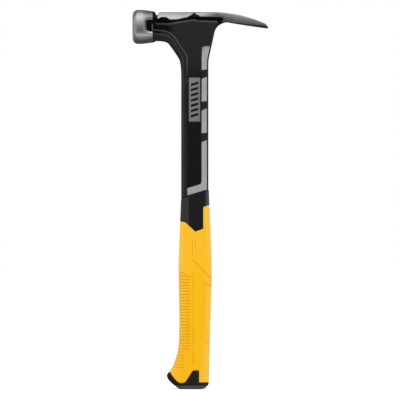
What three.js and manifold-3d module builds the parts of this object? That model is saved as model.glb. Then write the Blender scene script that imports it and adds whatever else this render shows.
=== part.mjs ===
// Framing hammer with a rip claw: one steel forging, inlays in its shaft, a nail magnet and a moulded grip.
// Millimetres. +Z runs up the handle from the butt, +X points to the claw, +Y is the thickness.

import * as THREE from "three";
import { mergeVertices } from "three/addons/utils/BufferGeometryUtils.js";
import Module from "manifold-3d";

const wasm = await Module();
wasm.setup();

// Clearance between every piece and the seat that holds it
const fitGap = 0.3;

// Handle lengths
const gripLength = 208.5;
const shaftReach = 179;
const shoulderSlope = 0.3;
const headAxis = gripLength + shaftReach;

// Head length from the striking face to the claw tip
const headLength = 145.4;
const faceX = -67.2;
const clawTipX = faceX + headLength;

// Bell, measured along X and about the head axis
const faceRadius = 11.8;
const bellRadius = 18.4;
const bellEdgeRound = 6.4;
const bellRearX = -44.4;
const bellRearRadius = 16.8;
const bellShoulder = 3;
const bellLand = 2;

// Milled striking face
const toothPitch = 2.1;
const toothGroove = 1.5;
const toothDepth = 1.2;
const toothPassStep = 0.05;

// Pocket in each flank of the bell
const pocketFrontX = -51.8;
const pocketTop = 7.2;
const pocketLow = -5.2;
const pocketCorner = 3.4;
const pocketDraft = 3.2;

// Nail groove along the top of the bell, and its magnet
const nailRadius = 2.2;
const nailFloor = 2.6;
const magnetX = -52.5;
const magnetRadius = 2;
const magnetHeight = 4;

// Top bar and claw
const barStartX = -38.6;
const barStartLean = 0.36;
const barTop = 15.5;
const barStartHalf = 11.8;
const barLowStart = 7.3;
const barLow = 9.9;
const barLowSag = 0.6;
const barEdge = 1;
const hollowLength = 10;
const hollowHeight = 4.8;
const hollowDepth = 2.6;
const clawBendX = 17;
const clawTopRadius = 143;
const clawRootX = 33.7;
const clawRootLow = 5.2;
const clawRootHalf = 16;
const clawRootBlend = 12;
const clawRootDip = 2.2;
const clawLowSlope = -0.18;
const clawLowHollow = 300;
const clawTipHalf = 13.3;
const clawChisel = 2.8;
const clawEdge = 0.9;
const clawBevel = 1.6;
const clawBevelX = 38;
const slotRootX = 36;
const slotRootHalf = 1.5;
const slotTipHalf = 5.2;
const slotDraft = 0.5;
const slotRunOut = 10;
const slotPass = 4;

// Slope of the sides at the lower edge and at the top: steep along the bar, nearly upright on the claw
const barSlopeLow = 0.53;
const barSlopeTop = 1.25;
const clawSlopeLow = -0.05;
const clawSlopeTop = 0.25;
const slopeStartX = -5;
const slopeEndX = 25;

// Cheeks and poll
const notchFloor = 12.2;
const pollHalf = 10.5;
const pollFull = -5;
const pollKnee = -12;
const pollKneeHalf = 9.6;
const pollWaist = -26;
const pollWaistHalf = 7.6;
const pollLow = -15;
const pollRound = 2.5;
const shieldHalf = 12.5;
const shieldBevel = 2;
const shieldArmX = -45.6;
const shieldArmTop = 2.6;
const shieldArmLow = -3.4;
const shieldArmLength = 11.6;
const shieldArmFall = 0.8;
const shieldBendX = -20.7;
const shieldBendLow = -12.4;
const shieldEnd = -32;
const shieldDipX = -32;
const shieldDip = 1.8;
const shieldClimbX = -20;
const shieldClimb = 3.4;
const shieldApexX = -0.8;
const shieldApexRise = 6.4;
const shieldStepLength = 3.2;
const shieldStep = 5.1;
const shieldBackX = 22.9;
const shieldBackTop = 4.4;
const shieldFlare = 1;
const shieldMargin = 2.6;
const shieldFullDrop = 2;
const channelHalf = 7.5;
const channelEndX = 29.5;
const channelEnd = 9.4;
const peakHalf = 5.6;
const peakShoulder = 11.8;
const peakPoint = 15;
const peakPointHalf = 2.8;
const peakProud = 0.5;

// Neck
const pollBendX = -28.4;
const pollBendDrop = 2.7;
const neckCurveX = -21.2;
const neckCurveLow = -27;
const neckTopX = 20.3;
const neckTop = -7.6;
const neckEnd = -41;
const neckBlend = 6;
const neckFlare = 1.6;

// Shaft
const shaftFront = 14.5;
const shaftBack = 14;
const railHalf = 7.5;
const railRound = 1;
const webHalf = 4.5;
const webFront = 8.2;
const webBack = 6.3;
const webDraft = 1.2;
const webTop = -50.5;

// Grey bars let into the rail on the claw side
const barSeat = 1.6;
const barProud = 0.3;
const barTopRise = -20.4;
const barFirstLength = 26;
const barPitch = 33.8;
const barSpacing = 7;
const barLip = 0.8;
const barEdgeMargin = 1.3;
const barCorner = 3;
const barTopCorner = 4.2;
const barTopSlant = 2.6;
const barLowSlant = 0.7;
const footHeight = 8.6;
const footMargin = 0.9;

// Plate on the web
const plateLength = 47;
const plateTopMargin = 3.9;
const plateFrontMargin = 1.6;
const plateBackMargin = 0.6;
const plateSeat = 0.8;
const plateProud = 0.6;
const plateCorner = 0.8;

// Bevel on the outer edges of bars and plates
const inlayBevel = 0.3;

// Tang inside the grip
const tangHalf = 3;
const tangTopWidth = 8;
const tangEndWidth = 6;
const tangEnd = 32;
const tangHoleRadius = 3.5;
const tangHoleRise = 26;
const tangHoleSpacing = 62;
const tangOverlap = 12;

// Grip: reach of the finger side (front) and of the palm side (back) at six heights
const collarFront = 14.8;
const collarBack = 15;
const bellyHeight = 122;
const bellyFront = 17.8;
const bellyBack = 18.1;
const waistHeight = 68;
const waistFront = 17.2;
const waistBack = 16.8;
const flareHeight = 42;
const flareFront = 18.7;
const flareBack = 15.7;
const heelHeight = 24;
const heelFront = 24.4;
const heelBack = 15.2;
const hookHeight = 15;
const hookFront = 30.2;
const hookBack = 15.1;
const gripThickness = 0.72;
const hookThickness = 0.64;
const gripSquareness = 2.8;
const sleeveWall = 3;
const coreEnd = 6.5;
const buttFlatFront = 17;
const buttFlatBack = 6.5;
const buttFlatHalf = 8;
const buttRound = 8;

// Collar line below the shoulder, seen from the side
const collarFrontDrop = 29.6;
const collarCornerX = -10.6;
const collarValleyX = 0.4;
const collarValleyDrop = 39.8;
const collarStepX = 8.5;
const collarStepDrop = 36.8;
const collarBackDrop = 12.8;
const collarBackCorner = 2.4;
const collarBackSlope = 0.2;

// Collar facets, seen from above: a flat flank with a slanting facet at each end
const collarFlatHalf = 10.2;
const collarFacetFront = 7.4;
const collarFacetBack = 11.6;
const collarSlantFront = 0.55;
const collarSlantBack = 0.7;

// Butt line, seen from the side
const buttRim = 7;
const spurTop = 19.9;
const spurBackX = 4;
const spurFrontX = -2.9;
const spurCorner = 1.3;
const buttHollowX = -15.2;
const buttHollowLow = 6.4;
const buttHollowFrontX = -23.2;
const buttHollowBackX = -8.1;
const buttHollowFrontEase = 3;
const buttHollowBackEase = 2;
const hookRimX = -27.2;
const hookRim = 18.6;

// Ribs on the finger side, and the groove beside them
const ribPitch = 3.25;
const ribGroove = 1.2;
const ribDepth = 0.8;
const ribTop = 124;
const ribBottom = 22;
const ribEndX = -5.8;
const ribShortTop = 42;
const ribShortEndX = -12;
const grooveX = -2;
const grooveWidth = 2.6;
const grooveDepth = 0.6;
const grooveBottom = 28;

// Shallow panel on the palm side of each flank
const panelX = 9.6;
const panelTop = 114.6;
const panelBackTop = 109.8;
const panelBackX = 17;
const panelLow = 61.4;
const panelCorner = 4.2;
const panelDepth = 0.45;

// Facets round the bell and round the grip, and the spacing of the grip's sections
const turnSteps = 36;
const gripSteps = 24;
const gripLongStep = 18;
const gripShortStep = 6;

// Extent of cutters and of half spaces, which passes every piece on all sides
const reach = 60;

// Helpers

const solidOf = (geometry) => {
  geometry.deleteAttribute("normal");
  geometry.deleteAttribute("uv");
  const merged = mergeVertices(geometry, 1e-4);
  const mesh = new wasm.Mesh({
    numProp: 3,
    vertProperties: new Float32Array(merged.attributes.position.array),
    triVerts: new Uint32Array(merged.index.array),
  });
  return new wasm.Manifold(mesh);
};

const geometryOf = (solid) => {
  const mesh = solid.getMesh();
  const geometry = new THREE.BufferGeometry();
  geometry.setAttribute("position", new THREE.BufferAttribute(mesh.vertProperties, 3));
  geometry.setIndex(new THREE.BufferAttribute(mesh.triVerts, 1));
  const flat = geometry.toNonIndexed();
  flat.computeVertexNormals();
  return flat;
};

const shapeOf = (points) => new THREE.Shape(points.map(([x, y]) => new THREE.Vector2(x, y)));

// A side-view outline extruded along Y from y0 to y1, its outline moved outwards by grow.
// A bevel shrinks both end faces.
const sidePrism = (shape, y0, y1, { grow = 0, bevel = 0, bevelSteps = 1 } = {}) => {
  const geometry = new THREE.ExtrudeGeometry(shape, {
    depth: y1 - y0 - 2 * bevel,
    curveSegments: 6,
    bevelEnabled: true,
    bevelThickness: bevel,
    bevelSize: bevel,
    bevelOffset: grow - bevel,
    bevelSegments: bevel > 0 ? bevelSteps : 0,
  });
  geometry.rotateX(Math.PI / 2);
  geometry.translate(0, y1 - bevel, 0);
  return solidOf(geometry);
};

// A cutter for the -Y side: the outline lies at depth y0 and widens by draft over the rise
const draftedPrism = (shape, y0, rise, draft) => {
  const geometry = new THREE.ExtrudeGeometry(shape, {
    depth: reach,
    curveSegments: 6,
    bevelEnabled: true,
    bevelThickness: rise,
    bevelSize: draft,
    bevelOffset: 0,
    bevelSegments: 1,
  });
  geometry.rotateX(Math.PI / 2);
  geometry.translate(0, -y0 - rise, 0);
  return solidOf(geometry);
};

const bothSides = (solid) => solid.add(solid.mirror([0, 1, 0]));

// A front-view outline extruded along X
const frontPrism = (points, x0, x1) => {
  const geometry = new THREE.ExtrudeGeometry(shapeOf(points), { depth: x1 - x0, bevelEnabled: false });
  const toX = new THREE.Matrix4().makeBasis(
    new THREE.Vector3(0, 1, 0),
    new THREE.Vector3(0, 0, 1),
    new THREE.Vector3(1, 0, 0),
  );
  geometry.applyMatrix4(toX);
  geometry.translate(x0, 0, 0);
  return solidOf(geometry);
};

// A closed skin through equal rings of points, capped at both ends
const loft = (rings) => {
  const count = rings[0].length;
  const positions = rings.flat().flatMap((p) => [p.x, p.y, p.z]);
  const index = [];
  for (let r = 0; r + 1 < rings.length; r += 1) {
    for (let k = 0; k < count; k += 1) {
      const a = r * count + k;
      const b = r * count + ((k + 1) % count);
      index.push(a, b, b + count, a, b + count, a + count);
    }
  }
  const last = (rings.length - 1) * count;
  for (let k = 1; k + 1 < count; k += 1) {
    index.push(0, k + 1, k);
    index.push(last, last + k, last + k + 1);
  }
  const geometry = new THREE.BufferGeometry();
  geometry.setAttribute("position", new THREE.Float32BufferAttribute(positions, 3));
  geometry.setIndex(index);
  return solidOf(geometry);
};

// Smooth value along stations given as [place, value] in rising order
const smoothAlong = (stations) => (place) => {
  const last = stations.length - 1;
  const inside = Math.min(Math.max(place, stations[0][0]), stations[last][0]);
  let i = 0;
  while (i < last - 1 && inside > stations[i + 1][0]) i += 1;
  const slope = (k) => {
    const low = stations[Math.max(k - 1, 0)];
    const high = stations[Math.min(k + 1, last)];
    return (high[1] - low[1]) / (high[0] - low[0]);
  };
  const span = stations[i + 1][0] - stations[i][0];
  const t = (inside - stations[i][0]) / span;
  const s = 1 - t;
  const ends = stations[i][1] * (1 + 2 * t) * s * s + stations[i + 1][1] * (1 + 2 * s) * t * t;
  return ends + span * t * s * (slope(i) * s - slope(i + 1) * t);
};

const up = (rise) => headAxis + rise;
const shoulderAt = (x) => gripLength + shoulderSlope * x;

// Bell

function bellBlank() {
  const profile = [new THREE.Vector2(0, faceX)];
  const quarter = 5;
  for (let k = 0; k <= quarter; k += 1) {
    const turn = (k / quarter) * (Math.PI / 2);
    const radius = faceRadius + (bellRadius - faceRadius) * Math.sin(turn);
    profile.push(new THREE.Vector2(radius, faceX + bellEdgeRound * (1 - Math.cos(turn))));
  }
  const flank = new THREE.QuadraticBezierCurve(
    new THREE.Vector2(bellRadius, faceX + bellEdgeRound + bellLand),
    new THREE.Vector2(bellRadius, (faceX + bellRearX) / 2),
    new THREE.Vector2(bellRearRadius, bellRearX),
  );
  profile.push(...flank.getPoints(3));
  for (let k = 1; k <= 2; k += 1) {
    const turn = (k / 2) * (Math.PI / 2);
    const radius = bellRearRadius - 2 * bellShoulder * (1 - Math.cos(turn));
    profile.push(new THREE.Vector2(radius, bellRearX + bellShoulder * Math.sin(turn)));
  }
  profile.push(new THREE.Vector2(0, bellRearX + bellShoulder));
  const geometry = new THREE.LatheGeometry(profile, turnSteps);
  geometry.rotateZ(-Math.PI / 2);
  geometry.translate(0, 0, headAxis);
  return solidOf(geometry);
}

// Two crossing rows of V grooves, the second pass a little shallower than the first
function faceGrooves() {
  const half = toothGroove / 2;
  const perSide = Math.ceil(faceRadius / toothPitch);
  const grooves = [];
  for (const upright of [true, false]) {
    const depth = upright ? toothDepth : toothDepth - toothPassStep;
    const section = shapeOf([
      [-3 * half, -2 * depth],
      [3 * half, -2 * depth],
      [0, depth],
    ]);
    for (let k = -perSide; k < perSide; k += 1) {
      const place = (k + 0.5) * toothPitch;
      const geometry = new THREE.ExtrudeGeometry(section, { depth: 4 * bellRadius, bevelEnabled: false });
      geometry.translate(0, 0, -2 * bellRadius);
      geometry.rotateZ(-Math.PI / 2);
      if (!upright) geometry.rotateX(Math.PI / 2);
      geometry.translate(faceX, upright ? place : 0, headAxis + (upright ? 0 : place));
      grooves.push(solidOf(geometry));
    }
  }
  return wasm.Manifold.union(grooves);
}

function bellPockets() {
  const innerX = pocketFrontX + pocketCorner;
  const shape = new THREE.Shape();
  shape.moveTo(barStartX, up(pocketLow));
  shape.lineTo(barStartX, up(pocketTop));
  shape.lineTo(innerX, up(pocketTop));
  shape.quadraticCurveTo(pocketFrontX, up(pocketTop), pocketFrontX, up(pocketTop - pocketCorner));
  shape.lineTo(pocketFrontX, up(pocketLow + pocketCorner));
  shape.quadraticCurveTo(pocketFrontX, up(pocketLow), innerX, up(pocketLow));
  return bothSides(draftedPrism(shape, pollHalf, bellRadius - pollHalf, pocketDraft));
}

const nailFloorRise = bellRearRadius - nailFloor;

function nailSeat() {
  const length = 2 * (barStartX - faceX);
  const trough = new THREE.CylinderGeometry(nailRadius, nailRadius, length, 16);
  trough.rotateZ(Math.PI / 2);
  trough.translate(faceX, 0, up(nailFloorRise + nailRadius));
  const mouth = new THREE.BoxGeometry(length, 2 * nailRadius, 2 * bellRadius);
  mouth.translate(faceX, 0, up(nailFloorRise + nailRadius + bellRadius));
  return solidOf(trough).add(solidOf(mouth));
}

const uprightDisc = (radius, low, high) => {
  const geometry = new THREE.CylinderGeometry(radius, radius, high - low, 20);
  geometry.rotateX(Math.PI / 2);
  geometry.translate(magnetX, 0, up((low + high) / 2));
  return solidOf(geometry);
};

const magnetDisc = () => uprightDisc(magnetRadius, nailFloorRise - magnetHeight, nailFloorRise);

const magnetSeat = () =>
  uprightDisc(magnetRadius + fitGap, nailFloorRise - magnetHeight - fitGap, nailFloorRise + nailRadius);

// Top bar and claw

const barTopAt = (x) => {
  const past = Math.max(x - clawBendX, 0);
  return barTop - (clawTopRadius - Math.sqrt(clawTopRadius ** 2 - past ** 2));
};

const clawLowAt = (x) => {
  const past = x - clawRootX;
  return clawRootLow + clawLowSlope * past * (1 - past / clawLowHollow);
};

const barHalfAt = smoothAlong([
  [barStartX, barStartHalf],
  [clawBendX, (barStartHalf + 2 * clawRootHalf) / 3],
  [clawRootX, clawRootHalf],
  [clawTipX, clawTipHalf],
]);

const barLowAt = smoothAlong([
  [barStartX, barLowStart],
  [barStartX / 2, barLowStart],
  [-peakHalf, barLow],
  [clawBendX, barLow],
  [(clawBendX + 2 * clawRootX) / 3, barLow - barLowSag],
  [clawRootX, clawRootLow],
]);

// How far the side has drawn in at a rise above its lower edge
const sideInset = (x, rise, height) => {
  const share = THREE.MathUtils.clamp((x - slopeStartX) / (slopeEndX - slopeStartX), 0, 1);
  const low = THREE.MathUtils.lerp(barSlopeLow, clawSlopeLow, share);
  const top = THREE.MathUtils.lerp(barSlopeTop, clawSlopeTop, share);
  return low * rise + ((top - low) * rise ** 2) / (2 * height);
};

const lowBevelAt = (x) => {
  const share = THREE.MathUtils.clamp((x - clawBevelX) / (clawTipX - clawBevelX), 0, 1);
  return THREE.MathUtils.lerp(barEdge / 2, clawBevel, share);
};

// A section across the bar with crowned sides. The lean tilts the section along X.
const barRing = (x, low, high, half, lean = 0) => {
  const height = high - low;
  const edge = Math.min(barEdge, height / 4);
  const bevel = Math.min(lowBevelAt(x), height / 3);
  const side = [[half - bevel, 0]];
  for (const rise of [bevel, (bevel + height - edge) / 2, height - edge]) {
    side.push([half - sideInset(x, rise, height), rise]);
  }
  side.push([half - sideInset(x, height, height) - edge / 2, height]);
  const around = [...side, ...side.toReversed().map(([y, rise]) => [-y, rise])];
  return around.map(([y, rise]) => new THREE.Vector3(x + lean * (rise - height), y, up(low + rise)));
};

// The bar and claw, or the same form grown on all sides
function barAndClaw(grow = 0) {
  const places = [barStartX * 0.7, barStartX * 0.4, -peakHalf, peakHalf, clawBendX];
  const bendSteps = 4;
  for (let k = 1; k < bendSteps; k += 1) {
    places.push(clawBendX + ((clawRootX - clawBendX) * k) / bendSteps);
  }
  const clawSteps = 9;
  const chiselX = clawTipX - clawChisel;
  for (let k = 0; k <= clawSteps; k += 1) {
    places.push(clawRootX + ((chiselX - clawRootX) * k) / clawSteps);
  }
  const rings = places.map((x) => {
    const low = x < clawRootX ? barLowAt(x) : clawLowAt(x);
    return barRing(x, low - grow, barTopAt(x) + grow, barHalfAt(x) + grow);
  });
  rings.unshift(barRing(barStartX, barLowStart - grow, barTop + grow, barStartHalf + grow, barStartLean));
  const tipLow = clawLowAt(clawTipX);
  rings.push(barRing(clawTipX, tipLow - grow, tipLow + clawEdge + grow, clawTipHalf + grow));
  return loft(rings);
}

function clawSlot() {
  const outline = (extra, rise) => {
    const beyond = clawTipX + slotRunOut;
    const widen = (slotTipHalf - slotRootHalf) / (clawTipX - slotRootX);
    const rootHalf = slotRootHalf + extra;
    const tipHalf = slotTipHalf + slotRunOut * widen + extra;
    const ring = [
      [beyond, -tipHalf],
      [beyond, tipHalf],
      [slotRootX, rootHalf],
      [slotRootX - rootHalf * 0.7, rootHalf * 0.7],
      [slotRootX - rootHalf, 0],
      [slotRootX - rootHalf * 0.7, -rootHalf * 0.7],
      [slotRootX, -rootHalf],
    ];
    return ring.map(([x, y]) => new THREE.Vector3(x, y, up(rise)));
  };
  const high = barTop + slotPass;
  const low = clawLowAt(clawTipX) - slotPass;
  return loft([outline(2 * slotDraft, low), outline(-slotDraft, high)]);
}

// Poll, neck and shaft

function bodyOutline(lowEnd) {
  const flareRise = up(neckEnd + 2 * neckBlend);
  const neckFootX = -shaftFront - neckBlend / 3;
  const rootDip = clawRootLow - clawRootDip;
  const shape = new THREE.Shape();
  shape.moveTo(pocketFrontX, up(pollLow));
  shape.lineTo(pollBendX - 2 * neckBlend, up(pollLow));
  shape.quadraticCurveTo(pollBendX - neckBlend / 2, up(pollLow), pollBendX, up(pollLow - pollBendDrop));
  shape.quadraticCurveTo(neckCurveX, up(neckCurveLow), neckFootX, up(neckEnd + neckBlend));
  shape.quadraticCurveTo(-shaftFront, up(neckEnd), -shaftFront, up(neckEnd - 2 * neckBlend));
  shape.lineTo(-shaftFront, lowEnd(-shaftFront));
  shape.lineTo(shaftBack, lowEnd(shaftBack));
  shape.lineTo(shaftBack, up(neckEnd));
  shape.quadraticCurveTo(shaftBack, up(neckEnd + neckBlend), shaftBack + neckFlare, flareRise);
  shape.lineTo(neckTopX, up(neckTop));
  shape.quadraticCurveTo(clawRootX - clawRootBlend, up(rootDip), clawRootX, up(clawRootLow));
  shape.lineTo(clawRootX, up(notchFloor));
  shape.lineTo(pocketFrontX, up(notchFloor));
  return shape;
}

// A slab along X whose half thickness follows stations of [half, height], from the top down
const slabAlong = (stations) => {
  const near = stations.map(([half, z]) => [-half, z]);
  return frontPrism([...near, ...stations.toReversed()], -2 * reach, 2 * reach);
};

// Half thickness of the cheek and web, falling in one ramp from the head to the web
const cheekRamp = () =>
  slabAlong([
    [shieldHalf, up(reach)],
    [shieldHalf, up(neckTop - shieldFullDrop)],
    [webHalf, up(webTop)],
    [webHalf, 0],
  ]);

// Half thickness of the poll, thinning down the neck until it is inside the shaft
const pollTaper = () =>
  slabAlong([
    [pollHalf, up(reach)],
    [pollHalf, up(pollFull)],
    [pollKneeHalf, up(pollKnee)],
    [pollWaistHalf, up(pollWaist)],
    [railHalf - railRound, up(neckEnd)],
    [railHalf - railRound, up(neckEnd - 3 * neckBlend)],
  ]);

const footTopAt = (x) => shoulderAt(x) + footMargin + footHeight;

// Line along which the cheek steps down to the rail, from the web round to the silhouette
function traceRailStep(shape) {
  shape.lineTo(webBack, up(barTopRise - barCorner));
  shape.quadraticCurveTo(webBack, up(barTopRise + barLip), webBack + barCorner, up(barTopRise + barLip));
}

// Raised cheek at the head, running on down as the floor of the web
function shieldOutline() {
  const shape = new THREE.Shape();
  const armEnd = shieldArmX + shieldArmLength;
  const edge = neckTopX - shieldMargin;
  const bendX = (armEnd + 2 * shieldBendX) / 3;
  const dipX = (shieldClimbX + shieldDipX) / 2;
  shape.moveTo(shieldArmX, up(shieldArmLow));
  shape.lineTo(armEnd, up(shieldArmLow - shieldArmFall));
  shape.quadraticCurveTo(bendX, up(shieldBendLow / 2), shieldBendX, up(shieldBendLow));
  shape.lineTo(-webFront, up(shieldEnd));
  shape.lineTo(-webFront, footTopAt(-webFront));
  shape.lineTo(webBack - barCorner, footTopAt(webBack - barCorner));
  shape.quadraticCurveTo(webBack, footTopAt(webBack), webBack, footTopAt(webBack) + barCorner);
  traceRailStep(shape);
  shape.lineTo(edge - shieldMargin, up(barTopRise + barLip));
  shape.lineTo(edge, up(neckTop));
  shape.quadraticCurveTo(edge + shieldFlare, up(0), shieldBackX, up(shieldBackTop));
  shape.lineTo(shieldApexX + shieldStepLength, up(shieldStep));
  shape.lineTo(shieldApexX, up(shieldApexRise));
  shape.lineTo(shieldClimbX, up(shieldClimb));
  shape.quadraticCurveTo(dipX, up(shieldDip), shieldDipX, up(shieldDip));
  shape.lineTo(shieldArmX, up(shieldArmTop));
  return shape;
}

// Channel in each flank between the top bar and the upper edge of the cheek
function barChannels() {
  const startX = shieldArmX - shieldBevel;
  const outline = shapeOf([
    [startX, up(shieldArmTop)],
    [shieldDipX, up(shieldDip)],
    [shieldApexX, up(shieldStep)],
    [shieldBackX, up(shieldBackTop)],
    [channelEndX, up(channelEnd)],
    [channelEndX, up(notchFloor + fitGap)],
    [startX, up(notchFloor + fitGap)],
  ]);
  return bothSides(sidePrism(outline, channelHalf, reach));
}

// Space above the rail on the claw side, which keeps the rail flat under the top bar
function railRelief() {
  const shape = new THREE.Shape();
  shape.moveTo(webBack, up(neckEnd - reach));
  traceRailStep(shape);
  shape.lineTo(reach, up(barTopRise + barLip));
  shape.lineTo(reach, up(neckEnd - reach));
  return sidePrism(shape, railHalf, reach);
}

// Pointed patch that stands out from the side of the bar above the apex of the cheek
function cheekPeak() {
  const outline = shapeOf([
    [shieldApexX - peakHalf, up(barLow - peakProud)],
    [shieldApexX + peakHalf, up(barLow - peakProud)],
    [shieldApexX + peakHalf, up(peakShoulder)],
    [shieldApexX + peakPointHalf, up(peakShoulder)],
    [shieldApexX, up(peakPoint)],
    [shieldApexX - peakPointHalf, up(peakShoulder)],
    [shieldApexX - peakHalf, up(peakShoulder)],
  ]);
  return sidePrism(outline, -reach, reach).intersect(barAndClaw(peakProud));
}

// Shallow oval hollow in each side of the bar near the notch
function barHollows() {
  const geometry = new THREE.CylinderGeometry(1, 1, 2 * hollowDepth, 20);
  geometry.scale(hollowLength / 2, 1, hollowHeight / 2);
  geometry.translate(barStartX + hollowLength / 2, barStartHalf, up(barLowStart));
  return bothSides(solidOf(geometry));
}

// Shaft inlays, each given by its side-view outline

const barSideX = webBack + barLip;

const railEdgeAt = (z) => {
  const flareStart = neckEnd + 2 * neckBlend;
  const slope = (neckTopX - shaftBack - neckFlare) / (neckTop - flareStart);
  const flare = Math.max((z - headAxis - flareStart) * slope + neckFlare, 0);
  return shaftBack + flare - barEdgeMargin;
};

const barEnds = (order) => {
  const firstEnd = up(barTopRise) - barFirstLength;
  const top = order === 0 ? up(barTopRise) : firstEnd - barSpacing - (order - 1) * barPitch;
  const bottom = firstEnd - order * barPitch;
  return { top, bottom };
};

function topBarOutline() {
  const { top, bottom } = barEnds(0);
  const flare = up(neckEnd + neckBlend);
  const shape = new THREE.Shape();
  shape.moveTo(barSideX, bottom);
  shape.lineTo(railEdgeAt(bottom), bottom + barLowSlant);
  shape.lineTo(railEdgeAt(flare), flare);
  shape.lineTo(railEdgeAt(top), top);
  shape.lineTo(barSideX + barTopCorner, top);
  shape.quadraticCurveTo(barSideX, top, barSideX, top - barTopCorner);
  return shape;
}

function plainBarOutline(order) {
  const { top, bottom } = barEnds(order);
  return shapeOf([
    [barSideX, bottom],
    [railEdgeAt(bottom), bottom + barLowSlant],
    [railEdgeAt(top), top],
    [barSideX, top - barTopSlant],
  ]);
}

function footBarOutline() {
  const { top } = barEnds(3);
  const low = (x) => shoulderAt(x) + footMargin;
  const high = (x) => footTopAt(x) - barLip;
  const right = railEdgeAt(top);
  const bend = barSideX - barCorner;
  const shape = new THREE.Shape();
  shape.moveTo(-webFront, low(-webFront));
  shape.lineTo(right, low(right));
  shape.lineTo(right, top);
  shape.lineTo(barSideX, top - barTopSlant);
  shape.lineTo(barSideX, high(barSideX) + barCorner);
  shape.quadraticCurveTo(barSideX, high(barSideX), bend, high(bend));
  shape.lineTo(-webFront, high(-webFront));
  return shape;
}

function plateOutline() {
  const top = up(webTop - plateTopMargin);
  const low = top - plateLength;
  const front = -webFront + plateFrontMargin;
  const back = webBack - plateBackMargin;
  return shapeOf([
    [front, low + plateCorner],
    [front + plateCorner, low],
    [back - plateCorner, low],
    [back, low + plateCorner],
    [back, top - plateCorner],
    [back - plateCorner, top],
    [front + plateCorner, top],
    [front, top - plateCorner],
  ]);
}

const barOutlines = {
  inlay_top: topBarOutline(),
  inlay_upper: plainBarOutline(1),
  inlay_middle: plainBarOutline(2),
  inlay_foot: footBarOutline(),
};

// Tang, grown by the clearance where it is used as a cutter

function tangBar(grow) {
  const shape = shapeOf([
    [-tangEndWidth, tangEnd],
    [tangEndWidth, tangEnd],
    [tangTopWidth, gripLength],
    [tangTopWidth, gripLength + tangOverlap],
    [-tangTopWidth, gripLength + tangOverlap],
    [-tangTopWidth, gripLength],
  ]);
  for (const rise of [tangHoleRise, tangHoleRise + tangHoleSpacing]) {
    const hole = new THREE.Path();
    hole.absarc(0, tangEnd + rise, tangHoleRadius, 0, 2 * Math.PI, true);
    shape.holes.push(hole);
  }
  return sidePrism(shape, -tangHalf - grow, tangHalf + grow, { grow });
}

function steelBody() {
  const shaft = sidePrism(bodyOutline(shoulderAt), -railHalf, railHalf, {
    bevel: railRound,
    bevelSteps: 2,
  });
  const pollEnd = () => up(neckEnd - 4 * neckBlend);
  const poll = sidePrism(bodyOutline(pollEnd), -pollHalf, pollHalf, {
    bevel: pollRound,
    bevelSteps: 2,
  })
    .intersect(pollTaper())
    .subtract(bothSides(railRelief()));
  const web = bothSides(draftedPrism(shieldOutline(), webHalf, railHalf - webHalf, webDraft));
  const shield = sidePrism(shieldOutline(), -shieldHalf, shieldHalf, {
    grow: shieldBevel,
    bevel: shieldBevel,
  });
  const bell = bellBlank().subtract(faceGrooves()).subtract(bellPockets());
  const seats = Object.values(barOutlines).map((outline) =>
    bothSides(sidePrism(outline, railHalf - barSeat, reach, { grow: fitGap })),
  );
  const plateSeats = bothSides(sidePrism(plateOutline(), webHalf - plateSeat, reach, { grow: fitGap }));
  return shaft
    .add(poll)
    .subtract(barChannels())
    .subtract(web.subtract(cheekRamp()))
    .add(shield.intersect(cheekRamp()))
    .add(barAndClaw())
    .add(cheekPeak())
    .subtract(clawSlot())
    .subtract(barHollows())
    .add(bell)
    .subtract(nailSeat())
    .subtract(magnetSeat())
    .subtract(wasm.Manifold.union(seats))
    .subtract(plateSeats)
    .add(tangBar(0));
}

// Grip

const gripHeights = [hookHeight, heelHeight, flareHeight, waistHeight, bellyHeight, gripLength];

const alongGrip = (values) => smoothAlong(values.map((value, k) => [gripHeights[k], value]));
const stationFront = alongGrip([hookFront, heelFront, flareFront, waistFront, bellyFront, collarFront]);
const stationBack = alongGrip([hookBack, heelBack, flareBack, waistBack, bellyBack, collarBack]);

const buttShare = (z) => Math.sqrt(1 - (1 - Math.min(z / buttRound, 1)) ** 2);

const gripFrontAt = (z) => {
  if (z >= hookHeight) return stationFront(z);
  return buttFlatFront + (hookFront - buttFlatFront) * Math.sin((Math.PI / 2) * (z / hookHeight));
};
const gripBackAt = (z) => buttFlatBack + (stationBack(z) - buttFlatBack) * buttShare(z);

// Half thickness as a share of the half width, smaller towards the hook
const thicknessAt = (z) => {
  const share = Math.min(Math.max((heelHeight - z) / (heelHeight - hookHeight), 0), 1);
  return gripThickness + (hookThickness - gripThickness) * share * share * (3 - 2 * share);
};

const gripHalfAt = (z, inset) => {
  const half = thicknessAt(z) * ((stationFront(z) + stationBack(z)) / 2 - inset);
  const flat = Math.min(buttFlatHalf, half);
  return flat + (half - flat) * buttShare(z);
};

const gripRing = (z, inset) => {
  const front = gripFrontAt(z) - inset;
  const back = gripBackAt(z) - inset;
  const half = gripHalfAt(z, inset);
  const power = 2 / gripSquareness;
  const points = [];
  for (let k = 0; k < gripSteps; k += 1) {
    const turn = (2 * Math.PI * k) / gripSteps;
    const across = Math.sign(Math.cos(turn)) * Math.abs(Math.cos(turn)) ** power;
    const aside = Math.sign(Math.sin(turn)) * Math.abs(Math.sin(turn)) ** power;
    const x = (back - front) / 2 + ((back + front) / 2) * across;
    points.push(new THREE.Vector3(x, half * aside, z));
  }
  return points;
};

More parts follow.
